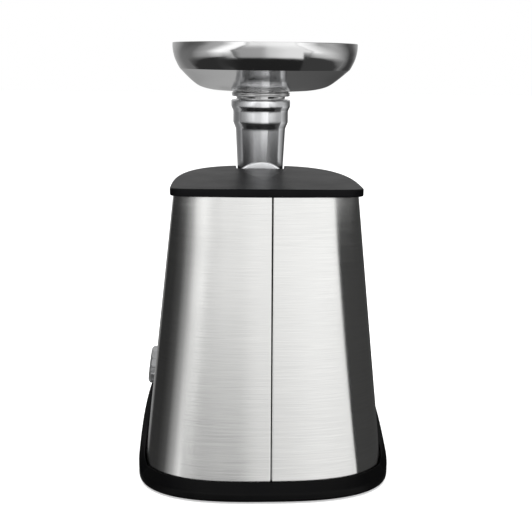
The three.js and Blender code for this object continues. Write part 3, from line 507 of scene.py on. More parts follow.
depth = put(tree, "Math", {0: scratches.outputs[0], 1: long_scratches.outputs[0]}, operation="ADD")
relief = put(tree, "Bump", {"Height": depth.outputs[0], "Strength": 0.22, "Distance": 0.00012})
tree.links.new(relief.outputs[0], steel.inputs["Normal"])
steel.inputs["Anisotropic"].default_value = 0.95
steel.inputs["Anisotropic Rotation"].default_value = 0.25  # the blur runs up, across the level scratches
around = put(tree, "Tangent", direction_type="RADIAL", axis="Z")
tree.links.new(around.outputs[0], steel.inputs["Tangent"])
print("brushed finish:", brushed_stainless.name)

# %% [markdown]
# ## Polished stainless and polished die-cast aluminium
# The tray is spun from stainless and buffed; the head is cast in aluminium, tumbled and polished. Both
# are near mirrors. What tells them from chrome is a slow waviness left by the buffing wheel, and faint
# smears where the mirror is a little duller. The head's mirror images are drawn out up and down, as on a
# tube that is held against the wheel while it turns.

# %% Polished finishes
def polished(name, colour, shine, wave_mm, wave_height, smear, drawn_out=0.0):
    """A buffed metal: waviness as bump, and smears that move the roughness from shine to shine + smear.
    drawn_out stretches the blur up and down, as on a piece polished while it turns about the vertical."""
    finish, tree, metal, place = open_finish(name, colour, shine, 1.0)
    metal.inputs["Anisotropic"].default_value = drawn_out
    metal.inputs["Anisotropic Rotation"].default_value = 0.25
    turning = put(tree, "Tangent", direction_type="RADIAL", axis="Z")
    tree.links.new(turning.outputs[0], metal.inputs["Tangent"])
    along = put(tree, "Mapping", {"Vector": place, "Scale": (1.0, 1.0, 1.0 - 0.97 * drawn_out)}).outputs[0]
    waves = put(tree, "TexNoise", {"Vector": along, "Scale": per_mm(wave_mm), "Detail": 2.0,
                                   "Roughness": 0.5})
    smears = put(tree, "TexNoise", {"Vector": along, "Scale": per_mm(14), "Detail": 4.0, "Distortion": 0.8})
    hairs = put(tree, "TexNoise", {"Vector": along, "Scale": per_mm(0.7), "Detail": 3.0})
    dull = put(tree, "Math", {0: spread(tree, smears.outputs[0], shine, shine + smear),
                              1: spread(tree, hairs.outputs[0], 0.0, 0.02)}, operation="ADD")
    tree.links.new(dull.outputs[0], metal.inputs["Roughness"])
    rippled = put(tree, "Bump", {"Height": waves.outputs[0], "Strength": 0.5, "Distance": wave_height * MM})
    fine = put(tree, "Bump", {"Height": hairs.outputs[0], "Strength": 0.05, "Distance": 0.02 * MM,
                              "Normal": rippled.outputs[0]})
    tree.links.new(fine.outputs[0], metal.inputs["Normal"])
    return finish


buffed_stainless = polished("buffed_stainless_304", "#DADADA", 0.07, 26, 0.30, 0.05)
polished_aluminium = polished("polished_die_cast_aluminium", "#F0F1F3", 0.15, 7, 0.10, 0.05, 0.95)
ground_steel = polished("ground_blade_steel", "#BDBEC0", 0.16, 30, 0.05, 0.10)
print("polished metals:", buffed_stainless.name, polished_aluminium.name, ground_steel.name)

# %% [markdown]
# ## Moulded plastics and rubber
# The lid, plinth and front are ABS moulded in a spark-eroded steel tool, which leaves a fine grain: half
# a millimetre of pebble that turns the shine into a satin sheen. The knob and the slider are ABS with a
# silver lacquer, and the feet are a dull rubber.

# %% Plastic and rubber finishes
def moulded(name, colour, paler, roughness, grain_mm, grain_height, sheen=0.5, metallic=0.0):
    """A moulded finish: pebble grain as bump, and a colour and roughness that drift a little over it."""
    finish, tree, plastic, place = open_finish(name, colour, roughness, metallic)
    drift = put(tree, "TexNoise", {"Vector": place, "Scale": per_mm(35), "Detail": 3.0})
    patches = spread(tree, drift.outputs[0], 0.0, 1.0)
    shade = put(tree, "Mix", {0: patches, 6: light_of(colour), 7: light_of(paler)}, data_type="RGBA")
    tree.links.new(shade.outputs[2], plastic.inputs["Base Color"])
    grain = put(tree, "TexNoise", {"Vector": place, "Scale": per_mm(grain_mm), "Detail": 3.0,
                                   "Roughness": 0.6})
    satin = put(tree, "Math", {0: spread(tree, grain.outputs[0], roughness - 0.05, roughness + 0.05),
                               1: spread(tree, drift.outputs[0], -0.02, 0.03)}, operation="ADD")
    tree.links.new(satin.outputs[0], plastic.inputs["Roughness"])
    pebbles = put(tree, "Bump", {"Height": grain.outputs[0], "Strength": 0.35,
                                 "Distance": grain_height * MM})
    tree.links.new(pebbles.outputs[0], plastic.inputs["Normal"])
    plastic.inputs["Specular IOR Level"].default_value = sheen
    return finish


black_abs = moulded("black_abs_spark_grain", "#070708", "#0C0C0D", 0.37, 0.55, 0.05, sheen=0.07)
# A lit copy of the black ABS for the front: colour painted lighter (#131314 against #070708) and sheen
# raised, as painted light for a face that gets little light.
front_abs_painted_lighter = moulded("black_abs_front_painted_lighter", "#131314", "#19191B", 0.42, 0.55, 0.05, sheen=0.45)
plinth_abs = moulded("black_abs_plinth", "#050506", "#090909", 0.36, 0.6, 0.05, sheen=0.07)
silver_lacquer = moulded("silver_lacquered_abs", "#9A9B9C", "#A6A7A8", 0.30, 0.35, 0.01, metallic=0.75)
grey_nylon = moulded("grey_glass_filled_nylon", "#3A3B3D", "#46474A", 0.55, 0.8, 0.06)
white_nylon = moulded("natural_nylon", "#DCD8CC", "#E6E3DA", 0.45, 1.2, 0.04)
foot_rubber = moulded("black_rubber", "#191919", "#232323", 0.82, 0.9, 0.08, sheen=0.25)
print("plastics and rubber:", black_abs.name, silver_lacquer.name, foot_rubber.name)

# %% [markdown]
# ## The metals inside
# Screws, shafts and gears are turned steel, with rings left by the tool. The gearbox is an unpolished
# casting, grey and grainy. Motor cores are stacks of half-millimetre steel sheets, and the coils are
# enamelled copper wire laid side by side.

# %% Turned steel, raw casting, laminations and copper wire
turned_steel = polished("turned_steel", "#A2A4A7", 0.26, 3, 0.03, 0.10)
raw_casting = moulded("raw_die_casting", "#8E9093", "#A0A2A5", 0.50, 1.1, 0.10, metallic=1.0)


def lined(name, colour, gap_colour, roughness, pitch_mm, metallic):
    """A stack of layers along the machine: a sine of y with the pitch darkens and dents the joints."""
    finish, tree, metal, place = open_finish(name, colour, roughness, metallic)
    along = put(tree, "SeparateXYZ", {0: place}).outputs["Y"]
    turns = put(tree, "Math", {0: along, 1: 2 * math.pi * per_mm(pitch_mm)}, operation="MULTIPLY")
    wave = put(tree, "Math", {0: turns.outputs[0]}, operation="SINE").outputs[0]
    share = spread(tree, wave, 0.0, 1.0, -1.0, 0.2)
    worn = put(tree, "TexNoise", {"Vector": place, "Scale": per_mm(5), "Detail": 3.0})
    shade = put(tree, "Mix", {0: share, 6: light_of(gap_colour), 7: light_of(colour)}, data_type="RGBA")
    tree.links.new(shade.outputs[2], metal.inputs["Base Color"])
    rub = spread(tree, worn.outputs[0], roughness - 0.08, roughness + 0.08)
    tree.links.new(rub, metal.inputs["Roughness"])
    ridges = put(tree, "Bump", {"Height": wave, "Strength": 0.6, "Distance": 0.12 * MM})
    tree.links.new(ridges.outputs[0], metal.inputs["Normal"])
    return finish


core_laminations = lined("electrical_steel_laminations", "#5A5D61", "#2B2D30", 0.50, 1.0, 0.9)
copper_winding = lined("enamelled_copper_wire", "#B4622E", "#5E2A12", 0.30, 0.9, 1.0)
print("finishes made:", len(bpy.data.materials))

# %% [markdown]
# ## Finishes for the CAD parts that stay
# Parts inside the housing keep their CAD shape. Each gets the finish that its material slot names in the
# record, so nothing inside is left plain.

# %% Dress every CAD node by its slot
FINISH_OF = dict(
    brushed_steel=brushed_stainless, polished_steel=ground_steel, cast_aluminium=polished_aluminium,
    gearbox_aluminium=raw_casting, black_plastic=black_abs, grey_plastic=grey_nylon, white_nylon=white_nylon,
    silver_plastic=silver_lacquer, rubber=foot_rubber, machined_steel=turned_steel, copper=copper_winding,
    laminations=core_laminations)
slot_of = {row["node"]: row["material_slot"] for row in frame["record"]["subparts"]}
for name, node in frame["nodes"].items():
    node.data.materials.clear()
    node.data.materials.append(FINISH_OF[slot_of[name]])
print(len(frame["nodes"]), "CAD nodes dressed")

# %% [markdown]
# ## Hopper tray
# The tray is a shallow dish drawn out of one round sheet. Its rings are all the rim's superellipse,
# shrunk towards the throat: a ring at share s sits at s times the way from throat to rim. At the sides the
# height against s is a smooth curve, flat near the throat and almost upright at the rim. Towards the rear
# it blends into a straight slope, as in a pan whose contents should slide to the throat. The collar has
# a flange, a neck and a spigot that drops into the feed tube, and the throat is bored through them all.

# %% Dish of the tray
TRAY = dict(rear=19, widest=143, front=267, half=86.3, rear_power=2.3, front_power=2.3)
THROAT_AT = (0, 215)
TRAY_WALL, TRAY_TOP, CREASE = 1.2, 400.0, 6.6
CREASE_Z, WALL_RISE = 376.8, 23.2
UNDERSIDE = [(0, 352.6), (0.12, 352.6), (0.2, 352.8), (0.575, 355.3), (0.7, 357.5), (0.78, 359.9),
             (0.84, 363.4), (0.917, 369.3), (1, CREASE_Z)]  # share of the way from throat to crease, height
WALL = [  # inset from the rim, height
    (CREASE, CREASE_Z), (4.7, 380), (1.9, 386), (0.4, 392), (0, 396), (0, TRAY_TOP - 0.5)]
LIP = [(0.12, 0.12), (0, 0.4), (0, 0.8), (0.12, 1.08)]  # how far under the top, inset from the rim
SLOPE_FROM, SLOPE_LOW = 0.2, 352.8  # the share and the height where the rear's straight slope starts


def tray_ring(share, z, inset):
    """The rim's outline drawn in by the inset, then shrunk towards the throat to the share."""
    x, station = outline(grown(TRAY, -inset), ALL_ROUND)
    return np.stack([share * x, DATUM_Y - THROAT_AT[1] - share * (station - THROAT_AT[1]), z + 0 * x], -1)


def under_ring(share, side_z, inset, lift):
    """A tray ring whose height runs from the side's curve to the rear's straight slope, as a smoothstep of
    how far back the rim is: w = t * t * (3 - 2 * t), z = side + w * (slope - side)."""
    _, rim_station = outline(TRAY, ALL_ROUND)
    t = np.clip((TRAY["widest"] - rim_station) / (TRAY["widest"] - TRAY["rear"]), 0, 1)
    slope_z = SLOPE_LOW + (CREASE_Z - SLOPE_LOW) * max(0.0, (share - SLOPE_FROM) / (1 - SLOPE_FROM))
    ring = tray_ring(share, side_z + lift, inset)
    ring[:, 2] += t * t * (3 - 2 * t) * (slope_z - side_z)
    return ring


def tray_dish():
    """Outer rings from the middle to the crease and up the wall, a rounded lip, and inner rings back down,
    one wall inside."""
    reach = TRAY["half"] - CREASE
    under = densify(eased([(share * reach, z) for share, z in UNDERSIDE], 9, 6), 2.0)
    wall = densify(eased(WALL, 2.5, 5), 1.2)
    outside = [under_ring(r / reach, z, CREASE, 0.0) for r, z in under[1:]]
    outside += [tray_ring(1, z, inset) for inset, z in wall[1:]]
    lip = [tray_ring(1, TRAY_TOP - drop, inset) for drop, inset in LIP]
    inside = [tray_ring(1, z + 0.3 * TRAY_WALL * (1 - (z - CREASE_Z) / WALL_RISE), inset + TRAY_WALL)
              for inset, z in wall[::-1]]
    inside += [under_ring(r / reach, z, CREASE + 0.6 * TRAY_WALL, TRAY_WALL) for r, z in under[-2:0:-1]]
    return skin(outside + lip + inside)


COLLAR = [(0, 326), (19.4, 326), (20.2, 326.8), (20.2, 345.2), (25.2, 345.2), (25.2, 345.8),
          (24.8, 346.1), (25.2, 346.4), (25.2, 348.2), (28.9, 348.2), (29.7, 348.5), (30.1, 349),
          (30.1, 349.9), (29.8, 350.3), (30.1, 350.7), (30.1, 351.6), (29.4, 352.4), (27, 353.6),
          (0, 353.6)]
THROAT_CUT = [(0, 324), (18.6, 324), (18.6, 352.4), (19.0, 353.4), (20.2, 354.3), (23.0, 354.9),
              (23.0, 360), (0, 360)]


def solid_turned(profile, axis, centre, sides=128, radius=0.15, flute=None):
    """A turned solid whose profile begins and ends on its axis: the two ends on the axis become fans."""
    line = eased(profile, radius, 2)[1:-1]
    return skin(turned(line, axis, centre, sides, flute))


tray = blank("hopper_tray_dish", tray_dish())
carved(tray, joined=[solid_turned(COLLAR, "up", THROAT_AT)], cut=[solid_turned(THROAT_CUT, "up", THROAT_AT)])
finished(tray, "hopper", buffed_stainless, ["hopper_tray"])

# %% [markdown]
# ## Head: barrel and feed tube
# The head is one casting. The barrel lies along the machine and the feed tube stands on it, meeting it in
# a saddle-shaped boss. The tube widens upwards in two steps with soft, polished corners. The barrel's
# mouth carries a coarse thread of 3 mm pitch: its radius dips by 0.9 mm once each turn and pitch.

# %% Cast head
AXIS_Z = 240
BARREL_FRONT, BARREL_RADIUS = 252, 32
TUBE = [(0, 240), (24, 240), (24, 277), (25.9, 315.5), (26.6, 317), (28.3, 321), (28.6, 322.5),
        (28.6, 333.6), (29.2, 334.8), (30.4, 337.2), (30.7, 338.4), (30.7, 343.8), (30, 344.8), (0, 344.8)]
BARREL = [(0, 178), (23.4, 178), (24, 178.6), (24, 190), (31, 190), (32, 191), (32, 238),
          (32, BARREL_FRONT), (0, BARREL_FRONT)]
SADDLE = [(0, 190.2), (28.0, 190.2), (28.7, 190.9), (28.7, 215), (0, 215)]
SADDLE_TOP, SADDLE_RADIUS = 282.8, 28.7
MOUTH_BORE = [(0, 196), (26, 196), (26, 251), (26.6, 252.2), (26.6, 254), (0, 254)]
SHAFT_BORE = [(0, 170), (9.6, 170), (9.6, 200), (0, 200)]
FEED_BORE = [(0, AXIS_Z), (20.8, AXIS_Z), (20.8, 343.8), (22.2, 345), (22.2, 347), (0, 347)]
THREAD_FROM, THREAD_PITCH, THREAD_DEPTH = 240.5, 3.0, 0.9


def barrel_thread(angle, station):
    """Minus the depth times (0.5 - 0.5 cos(2 pi turn)) ** 0.7, where turn is station / pitch - angle / 2 pi.
    It is on only ahead of the shoulder."""
    turn = (station - THREAD_FROM) / THREAD_PITCH - angle / (2 * np.pi)
    on = (station > THREAD_FROM) & (station < BARREL_FRONT - 0.3)
    return np.where(on, -THREAD_DEPTH * (0.5 - 0.5 * np.cos(2 * np.pi * turn)) ** 0.7, 0.0)


def barrel_solid():
    """The barrel's profile with stations every 0.3 mm at its mouth, so that the thread shows."""
    line = densify(eased(BARREL, 0.6, 3), 40)
    mouth = np.stack([np.full(40, BARREL_RADIUS), np.linspace(239.5, BARREL_FRONT - 0.2, 40)], -1)
    line = np.vstack([line[line[:, 1] < 239], mouth, line[line[:, 1] > BARREL_FRONT - 0.15]])
    line = line[line[:, 0] > 0.01]
    return skin(turned(line, "along", (0, AXIS_Z), 144, barrel_thread))


tube_line = densify(eased(TUBE, 2.2, 6), 3.0)
tube_solid = skin(turned(tube_line[1:-1], "up", THROAT_AT, 144))
saddle_solid = solid_turned(SADDLE, "along", (0, SADDLE_TOP - SADDLE_RADIUS), 144, 0.6)
head = blank("cast_head", barrel_solid())
carved(head, joined=[tube_solid, saddle_solid], cut=[
    solid_turned(MOUTH_BORE, "along", (0, AXIS_Z), 128), solid_turned(SHAFT_BORE, "along", (0, AXIS_Z), 96),
    solid_turned(FEED_BORE, "up", THROAT_AT, 128)])
finished(head, "head", polished_aluminium, ["head_casting"])

# %% [markdown]
# ## Steel wrap
# Two bent sheets, 0.9 mm thick, meet at a seam just off the middle of the rear and end at the black front.
# Going round a sheet the angle runs from the seam to its front end, and going up it the outline shrinks in
# a straight line, so each sheet is a surface of angle and height. At the seam the edge is turned in on a
# small radius, which gives the thin bright line on each side of the gap.

# %% One bent sheet
WRAP_LOW, WRAP_HIGH, SHEET = 7.0, 268.6, 0.9
SEAM_X, SEAM_HALF = -4.6, 0.5
FOLD_RADIUS, FOLD_DEPTH = 1.1, 0.55
SHEET_END = 34.4  # where a sheet ends in front, in degrees of the outline's own parameter


def edge_angle(z, degrees):
    """Where an end at that angle of the superellipse's own parameter lies, as an angle round the middle."""
    plan = body_plan(z)
    c, s = math.cos(math.radians(degrees)), math.sin(math.radians(degrees))
    n = plan["front_power"]
    ahead = (plan["front"] - plan["widest"]) * s ** (2 / n)
    return np.degrees(np.arctan2(ahead, plan["half"] * c ** (2 / n)))


def bent_sheet(side, end_degrees, points=150, levels=34):
    """Rings of (outer line, inner line back) at each height; side is +1 or -1 in x. Near the seam the line
    moves in by the fold's depth times 1 - sqrt(1 - q^2), where q runs from 0 to 1 over the fold."""
    rings = []
    limit = SEAM_HALF + side * SEAM_X
    for z in np.linspace(WRAP_LOW, WRAP_HIGH, levels):
        first = -90 + math.degrees(math.atan2(limit, float(body_plan(z)["widest"] - body_plan(z)["rear"])))
        angle = first + (edge_angle(z, end_degrees) - first) * np.linspace(0, 1, points) ** 1.5
        walls = []
        for margin in (0.0, -SHEET):
            x, station = outline(body_plan(z, margin), angle)
            x = np.maximum(x, limit)
            q = np.clip(1 - (x - limit) / FOLD_RADIUS, 0, 1)
            station = station + FOLD_DEPTH * (1 - np.sqrt(1 - q ** 2))
            walls.append(np.stack([side * x, DATUM_Y - station, z + 0 * x], -1))
        rings.append(np.concatenate([walls[0], walls[1][::-1]]))
    return skin(rings, ends="fold")


KNOB_STATION, KNOB_Z, KNOB_TILT = 150, 77, math.radians(6.6)
KNOB_WALL = 102.49


def on_knob_axis(shape):
    """Moves a shape turned about the vertical through the origin onto the knob's axis: up becomes out of the
    housing."""
    points, faces = shape
    across, along, up = points[:, :1], points[:, 1:2] - DATUM_Y, points[:, 2:]
    out = np.array([math.cos(KNOB_TILT), 0, math.sin(KNOB_TILT)])
    rise = np.array([-math.sin(KNOB_TILT), 0, math.cos(KNOB_TILT)])
    centre = np.array([KNOB_WALL, DATUM_Y - KNOB_STATION, KNOB_Z])
    side = np.array([0, 1, 0])
    return centre + up * out + along * side - across * rise, faces


spindle_hole = on_knob_axis(solid_turned([(0, -12), (7, -12), (7, 12), (0, 12)], "up", (0, 0), 48))
left_sheet = carved(blank("steel_sheet_left", bent_sheet(1, SHEET_END)), cut=[spindle_hole])
finished(left_sheet, "housing", brushed_stainless, ["steel_panel_left"])
right_sheet = blank("steel_sheet_right", bent_sheet(-1, SHEET_END))
finished(right_sheet, "housing", brushed_stainless, ["steel_panel_right"])

# %% [markdown]
# ## Lid
# The lid is one ABS moulding: a flat top with a soft edge, a short vertical band, and a skirt that drops
# inside the steel. Its front is notched for the feed tube. The corner of the notch flares at the top, as a
# mould maker breaks an edge, so the cutting tool is drawn wider just under the top.

# %% Lid with its notch
LID_TOP, ROOF_UNDER, LID_SOFT = 276.0, 272.5, 1.5
NOTCH_HALF, NOTCH_REAR, NOTCH_CORNER, NOTCH_FLARE = 25.2, 188, 5, 1.2


def lid_shell():
    """Rings from inside the roof, down the inner wall, round the lip and up over the soft top edge."""
    section = [(-19, ROOF_UNDER), (-5.5, ROOF_UNDER), (-5.5, LID_Z), (0, LID_Z), (0, LID_TOP),
               (-19, LID_TOP)]
    line = densify(eased(section, LID_SOFT, 5), 6)
    return skin([ring_at(grown(LID, margin), z, ALL_ROUND) for margin, z in line])


def notch(flare, z):
    """The notch's outline at a height: straight behind the tube with rounded corners, grown by the flare,
    and open towards the front."""
    half, rear, corner = NOTCH_HALF + flare, NOTCH_REAR - flare, NOTCH_CORNER + flare
    t = np.radians(np.linspace(0, 90, 9))
    x = np.concatenate([[half], half - corner + corner * np.cos(t)])
    s = np.concatenate([[250], rear + corner - corner * np.sin(t)])
    x, s = np.concatenate([x, -x[::-1]]), np.concatenate([s, s[::-1]])
    return np.stack([x, DATUM_Y - s, np.full_like(x, z)], -1)


def notch_tool():
    """Straight up to just under the top, then flaring on a quarter circle."""
    curve = [(NOTCH_FLARE * (1 - math.sqrt(1 - r * r)), LID_TOP - NOTCH_FLARE + NOTCH_FLARE * r)
             for r in np.linspace(0, 1, 5)]
    levels = [(0.0, 255.0)] + curve + [(NOTCH_FLARE, 280.0)]
    return skin([notch(flare, z) for flare, z in levels], ends="fold")


def skirt_strip():
    """A wall inside the steel from one front corner round the rear to the other, as a folded ring at each
    height."""
    angle = np.linspace(-212, 32, 160)
    walls = [ring_at(body_plan(LID_Z, margin), 0, angle) for margin in (-1.9, -4.2)]
    ring = np.concatenate([walls[0], walls[1][::-1]])
    return skin([ring + np.array([0, 0, z]) for z in (263.2, 263.8, 270)], ends="fold")


lid = blank("top_lid", lid_shell())
carved(lid, joined=[skirt_strip()], cut=[notch_tool()])
finished(lid, "housing", black_abs, ["top_cover"])

# %% [markdown]
# ## Plinth
# The plinth is a deep black tray that the steel stands in. Its rim is low at the rear and climbs towards
# the front, leaning back as it climbs. Behind, a ledge slopes up from the rim to the steel. Every ring has
# the same number of points, so each corner line can be rounded as a whole, with the same easing curve.

# %% Plinth moulding
RIM_Z, RIM_SLOPE, RIM_START, RIM_LEAN = 10, 0.385, 39, 22
LEDGE_RISE, SLEEVE_GAP = 8, 1.1
SOLE_Z, SIDE_Z, FLOOR_Z = 1.5, 2.9, 4.5


def plinth_shell():
    """Rings: underside, foot, side, rim, ledge's inner edge, inner wall and floor. The rim is at
    10 + 0.385 (station - 39) ahead of station 39, and the ledge eases from 8 mm above it to none."""
    rim = ring_at(PLINTH | dict(front=PLINTH["front"] - RIM_LEAN), 0, ALL_ROUND)
    station = DATUM_Y - rim[:, 1]
    rim[:, 2] = RIM_Z + RIM_SLOPE * np.maximum(0, station - RIM_START)
    t = np.clip((station - 20) / 90, 0, 1)
    ledge_z = rim[:, 2] + LEDGE_RISE * (1 - t * t * (3 - 2 * t))
    ledge = ring_at(body_plan(ledge_z, SLEEVE_GAP), ledge_z, ALL_ROUND)
    foot = ring_at(grown(PLINTH, -1.2), SOLE_Z, ALL_ROUND)
    side = ring_at(PLINTH, SIDE_Z, ALL_ROUND)
    floor_ring = ring_at(body_plan(FLOOR_Z, SLEEVE_GAP), FLOOR_Z, ALL_ROUND)
    inwards = [0.9, 0.9, 1]  # a little towards the middle, at the same height
    corners = np.stack([foot * inwards, foot, side, rim, ledge, floor_ring, floor_ring * inwards])
    return skin(eased(corners, 2.2, 5))


# %% What goes through the plinth's floor
FEET_AT = [(78, 40), (-78, 40), (62, 238), (-62, 238)]
BASE_SCREWS_AT = [(34, 104), (-34, 104), (34, 122), (-34, 122)]
GLAND_AT = (52, 34)
VENTS, VENT_STEP, VENT_HALF = 6, 9, 1.8


def upright_bar(radius, low, high, spot, sides=40):
    """A round bar standing at a spot (x, station)."""
    return skin(turned([(radius, low), (radius, high)], "up", spot, sides))


def four_corners(x, station):
    """The corners of a rectangle from its limits in x and station, going round it."""
    return np.array([(x[0], station[0]), (x[1], station[0]), (x[1], station[1]), (x[0], station[1])], float)


def flat_ring(line, z):
    """A ring of points from a line of (x, station), all at one height."""
    return np.stack([line[:, 0], DATUM_Y - line[:, 1], np.full(len(line), float(z))], -1)


def box_shape(x, station, z, corner=0.8, steps=4):
    """A bar with rounded upright corners, straight from the low to the high z."""
    ring = eased(four_corners(x, station), corner, steps, closed=True)
    return skin([flat_ring(ring, height) for height in z])


plinth = blank("plinth_moulding", plinth_shell())
vents = [box_shape((x - VENT_HALF, x + VENT_HALF), (150, 190), (0, 6), 1.7)
         for x in (np.arange(VENTS) - (VENTS - 1) / 2) * VENT_STEP]
carved(plinth, joined=[upright_bar(5, 4, 9.6, spot) for spot in BASE_SCREWS_AT],
       cut=[upright_bar(9.4, 0, 3.2, spot) for spot in FEET_AT] + [upright_bar(7.4, 0, 6, GLAND_AT)]
       + [upright_bar(2.2, 0, 14, spot) for spot in BASE_SCREWS_AT] + vents)
finished(plinth, "housing", plinth_abs, ["base_plinth"])

# %% [markdown]
# ## Feet and base screws
# Four soft rubber pads sit in round recesses under the plinth and keep the machine from creeping. Four
# cross-headed screws hold the motor's chassis down on bosses in the plinth's floor.

# %% Feet and base screws
FOOT_PROFILE = [(0, 0.35), (5.6, 0.35), (6.2, 0.0), (9.0, 0.0), (8.7, 2.8), (0, 2.8)]
SCREW_TOP, RECESS_DEEP = 15.4, 1.2
SCREW_PROFILE = [(0, 1.7), (1.5, 1.7), (1.8, 2.4), (1.8, 13.4), (3.6, 13.4), (3.5, 14.4),
                 (2.2, SCREW_TOP), (0, SCREW_TOP)]
for i, spot in enumerate(FEET_AT, 1):
    foot = blank(f"rubber_pad_{i}", solid_turned(FOOT_PROFILE, "up", spot, 72, 0.5))
    finished(foot, "housing", foot_rubber, [f"rubber_foot_{i}"])


def cross_recess(x, station):
    """Two crossed bars, 0.9 by 3.6 mm, from above a screw's top down by the recess's depth."""
    z = (SCREW_TOP - RECESS_DEEP, SCREW_TOP + 1)
    return [box_shape((x - wide, x + wide), (station - tall, station + tall), z, 0.2, 2)
            for wide, tall in ((1.8, 0.45), (0.45, 1.8))]


for i, spot in enumerate(BASE_SCREWS_AT, 1):
    screw = blank(f"chassis_screw_{i}", solid_turned(SCREW_PROFILE, "up", spot, 48, 0.5))
    carved(screw, cut=cross_recess(*spot))
    finished(screw, "housing", turned_steel, [f"base_screw_{i}"])

# %% [markdown]
# ## Front
# The front is the third side of the wrap, moulded in black ABS. A round opening with a wide slot above it
# makes room for the head, which slides in from the front, and a small slot below holds the lock slider.
# A shelf inside carries the slider's spring, and a row of level grooves breaks up the plain wall below.

# %% Front moulding
def front_wall(margin_out, margin_in, low, high, start=35.0, levels=30, points=120):
    """Rings of (outer line, inner line back) at each height, between the two steel edges."""
    rings = []
    for z in np.linspace(low, high, levels):
        edge = edge_angle(z, start)
        angle = np.linspace(edge, 180 - edge, points)
        walls = [ring_at(body_plan(z, margin), z, angle) for margin in (margin_out, margin_in)]
        rings.append(np.concatenate([walls[0], walls[1][::-1]]))
    return skin(rings, ends="fold")


def along_bar(radius, stations, centre, sides=96):
    """A round bar lying along the machine, centred on (x, z)."""
    return skin(turned([(radius, stations[0]), (radius, stations[1])], "along", centre, sides))


GROOVE_WIDE, GROOVE_DEEP = 1.2, 0.7
front = blank("front_moulding", front_wall(0.2, -2.4, WRAP_LOW, WRAP_HIGH))
grooves = [front_wall(1.2, -GROOVE_DEEP, z, z + GROOVE_WIDE, 52.0, 2, 60) for z in np.arange(60, 133, 12)]
spring_shelf = box_shape((-9, 9), (211, 241.5), (156, 159.5), 2)
head_opening = [along_bar(36, (180, 262), (0, AXIS_Z), 128),
                box_shape((-30, 30), (180, 262), (AXIS_Z, 275), 1)]
slider_slot = box_shape((-4.2, 4.2), (215, 262), (179, 193.5), 0.4)
carved(front, joined=[spring_shelf], cut=head_opening + [slider_slot] + grooves)
# The front's finish is the black ABS painted lighter, standing in for light that falls weakly on the front.
finished(front, "housing", front_abs_painted_lighter, ["front_fascia"])

# %% [markdown]
# ## Speed knob
# A lacquered knob with fourteen grip ribs round it, a dished cap and a raised pointer. Round the knob the
# radius is a flat circle with a narrow bump at each rib: height times exp(-(angle from the rib / width)^4),
# which fades out at both ends of the ribs.

# %% Knob and its bezel
KNOB_RIBS, RIB_HEIGHT, RIB_WIDTH = 14, 0.65, 0.05


def knob_ribs(angle, height):
    """Bumps at the ribs, full between heights 3.8 and 8.8 and fading out over 0.8 mm beyond."""
    step = 2 * np.pi / KNOB_RIBS
    from_rib = (angle + step / 2) % step - step / 2
    on = np.clip((height - 3.0) / 0.8, 0, 1) * np.clip((9.6 - height) / 0.8, 0, 1)
    return RIB_HEIGHT * np.exp(-(from_rib / RIB_WIDTH) ** 4) * on


knob_profile = [(0, 6), (3.4, 6), (3.4, 2.4), (17.6, 2.4), (18.5, 3.0), (18.5, 9.6), (17.4, 10.6),
                (16.4, 11.2), (15.4, 10.9), (4, 10.5), (0, 10.5)]
knob_line = densify(eased(knob_profile, 0.6, 4), 0.6)
knob_line = knob_line[knob_line[:, 0] > 0.02]
knob = blank("speed_dial", on_knob_axis(skin(turned(knob_line, "up", (0, 0), 336, knob_ribs))))
pointer = on_knob_axis(box_shape((-15, -5), (-0.7, 0.7), (9, 11.4), 0.6))
carved(knob, joined=[pointer])
finished(knob, "knob", silver_lacquer, ["speed_knob"])
bezel_profile = [(8, -2.5), (20.2, -2.5), (20.2, 1.2), (19.4, 2.0), (17.0, 2.0), (16.4, 1.4), (8, 1.4)]
bezel_ring = eased(bezel_profile, 0.4, 3, closed=True)
bezel = blank("dial_bezel", on_knob_axis(skin(turned(bezel_ring, "up", (0, 0), 144), ends="loop")))
finished(bezel, "housing", black_abs, ["knob_bezel"])

# %% [markdown]
# ## Ring nut
# The ring nut is cast with twelve round grips; it screws onto the barrel's mouth and holds the cutting
# plate against it. The grips are lobes in the radius: 1.35 mm times cos^8 of six times the angle.

# %% Ring nut
NUT_GRIPS, GRIP_HEIGHT = 12, 1.35


def nut_grips(angle, station):
    """The grip's height times cos(6 angle)^8, fading in over 2.5 mm from stations 242 and 260.5."""
    on = np.clip((station - 242) / 2.5, 0, 1) * np.clip((260.5 - station) / 2.5, 0, 1)
    return GRIP_HEIGHT * np.cos(NUT_GRIPS / 2 * angle) ** 8 * on


nut_outside = [(32.6, 240), (35.0, 240), (35.7, 240.7), (35.7, 261.8), (34.0, 263.5), (24.5, 263.5)]
nut_inside = [(24.5, 257.8), (30.0, 257.8), (30.0, 252.2), (32.6, 252.2)]
outside = densify(eased(nut_outside, 0.8, 4), 0.8)
inside = eased([nut_outside[-1]] + nut_inside + [nut_outside[0]], 0.3, 2)[1:-1]
rings = np.concatenate([turned(outside, "along", (0, AXIS_Z), 240, nut_grips),
                        turned(inside, "along", (0, AXIS_Z), 240)])
nut = blank("screw_ring", skin(rings, ends="loop"))
finished(nut, "ring_nut", polished_aluminium, ["ring_nut"])

# %% [markdown]
# ## Cutting plate
# The plate is a ground steel disc, drilled with three rings of holes round a bearing hole. The blade turns
# just behind it, and each hole is broken wider at the front, where the meat comes out.

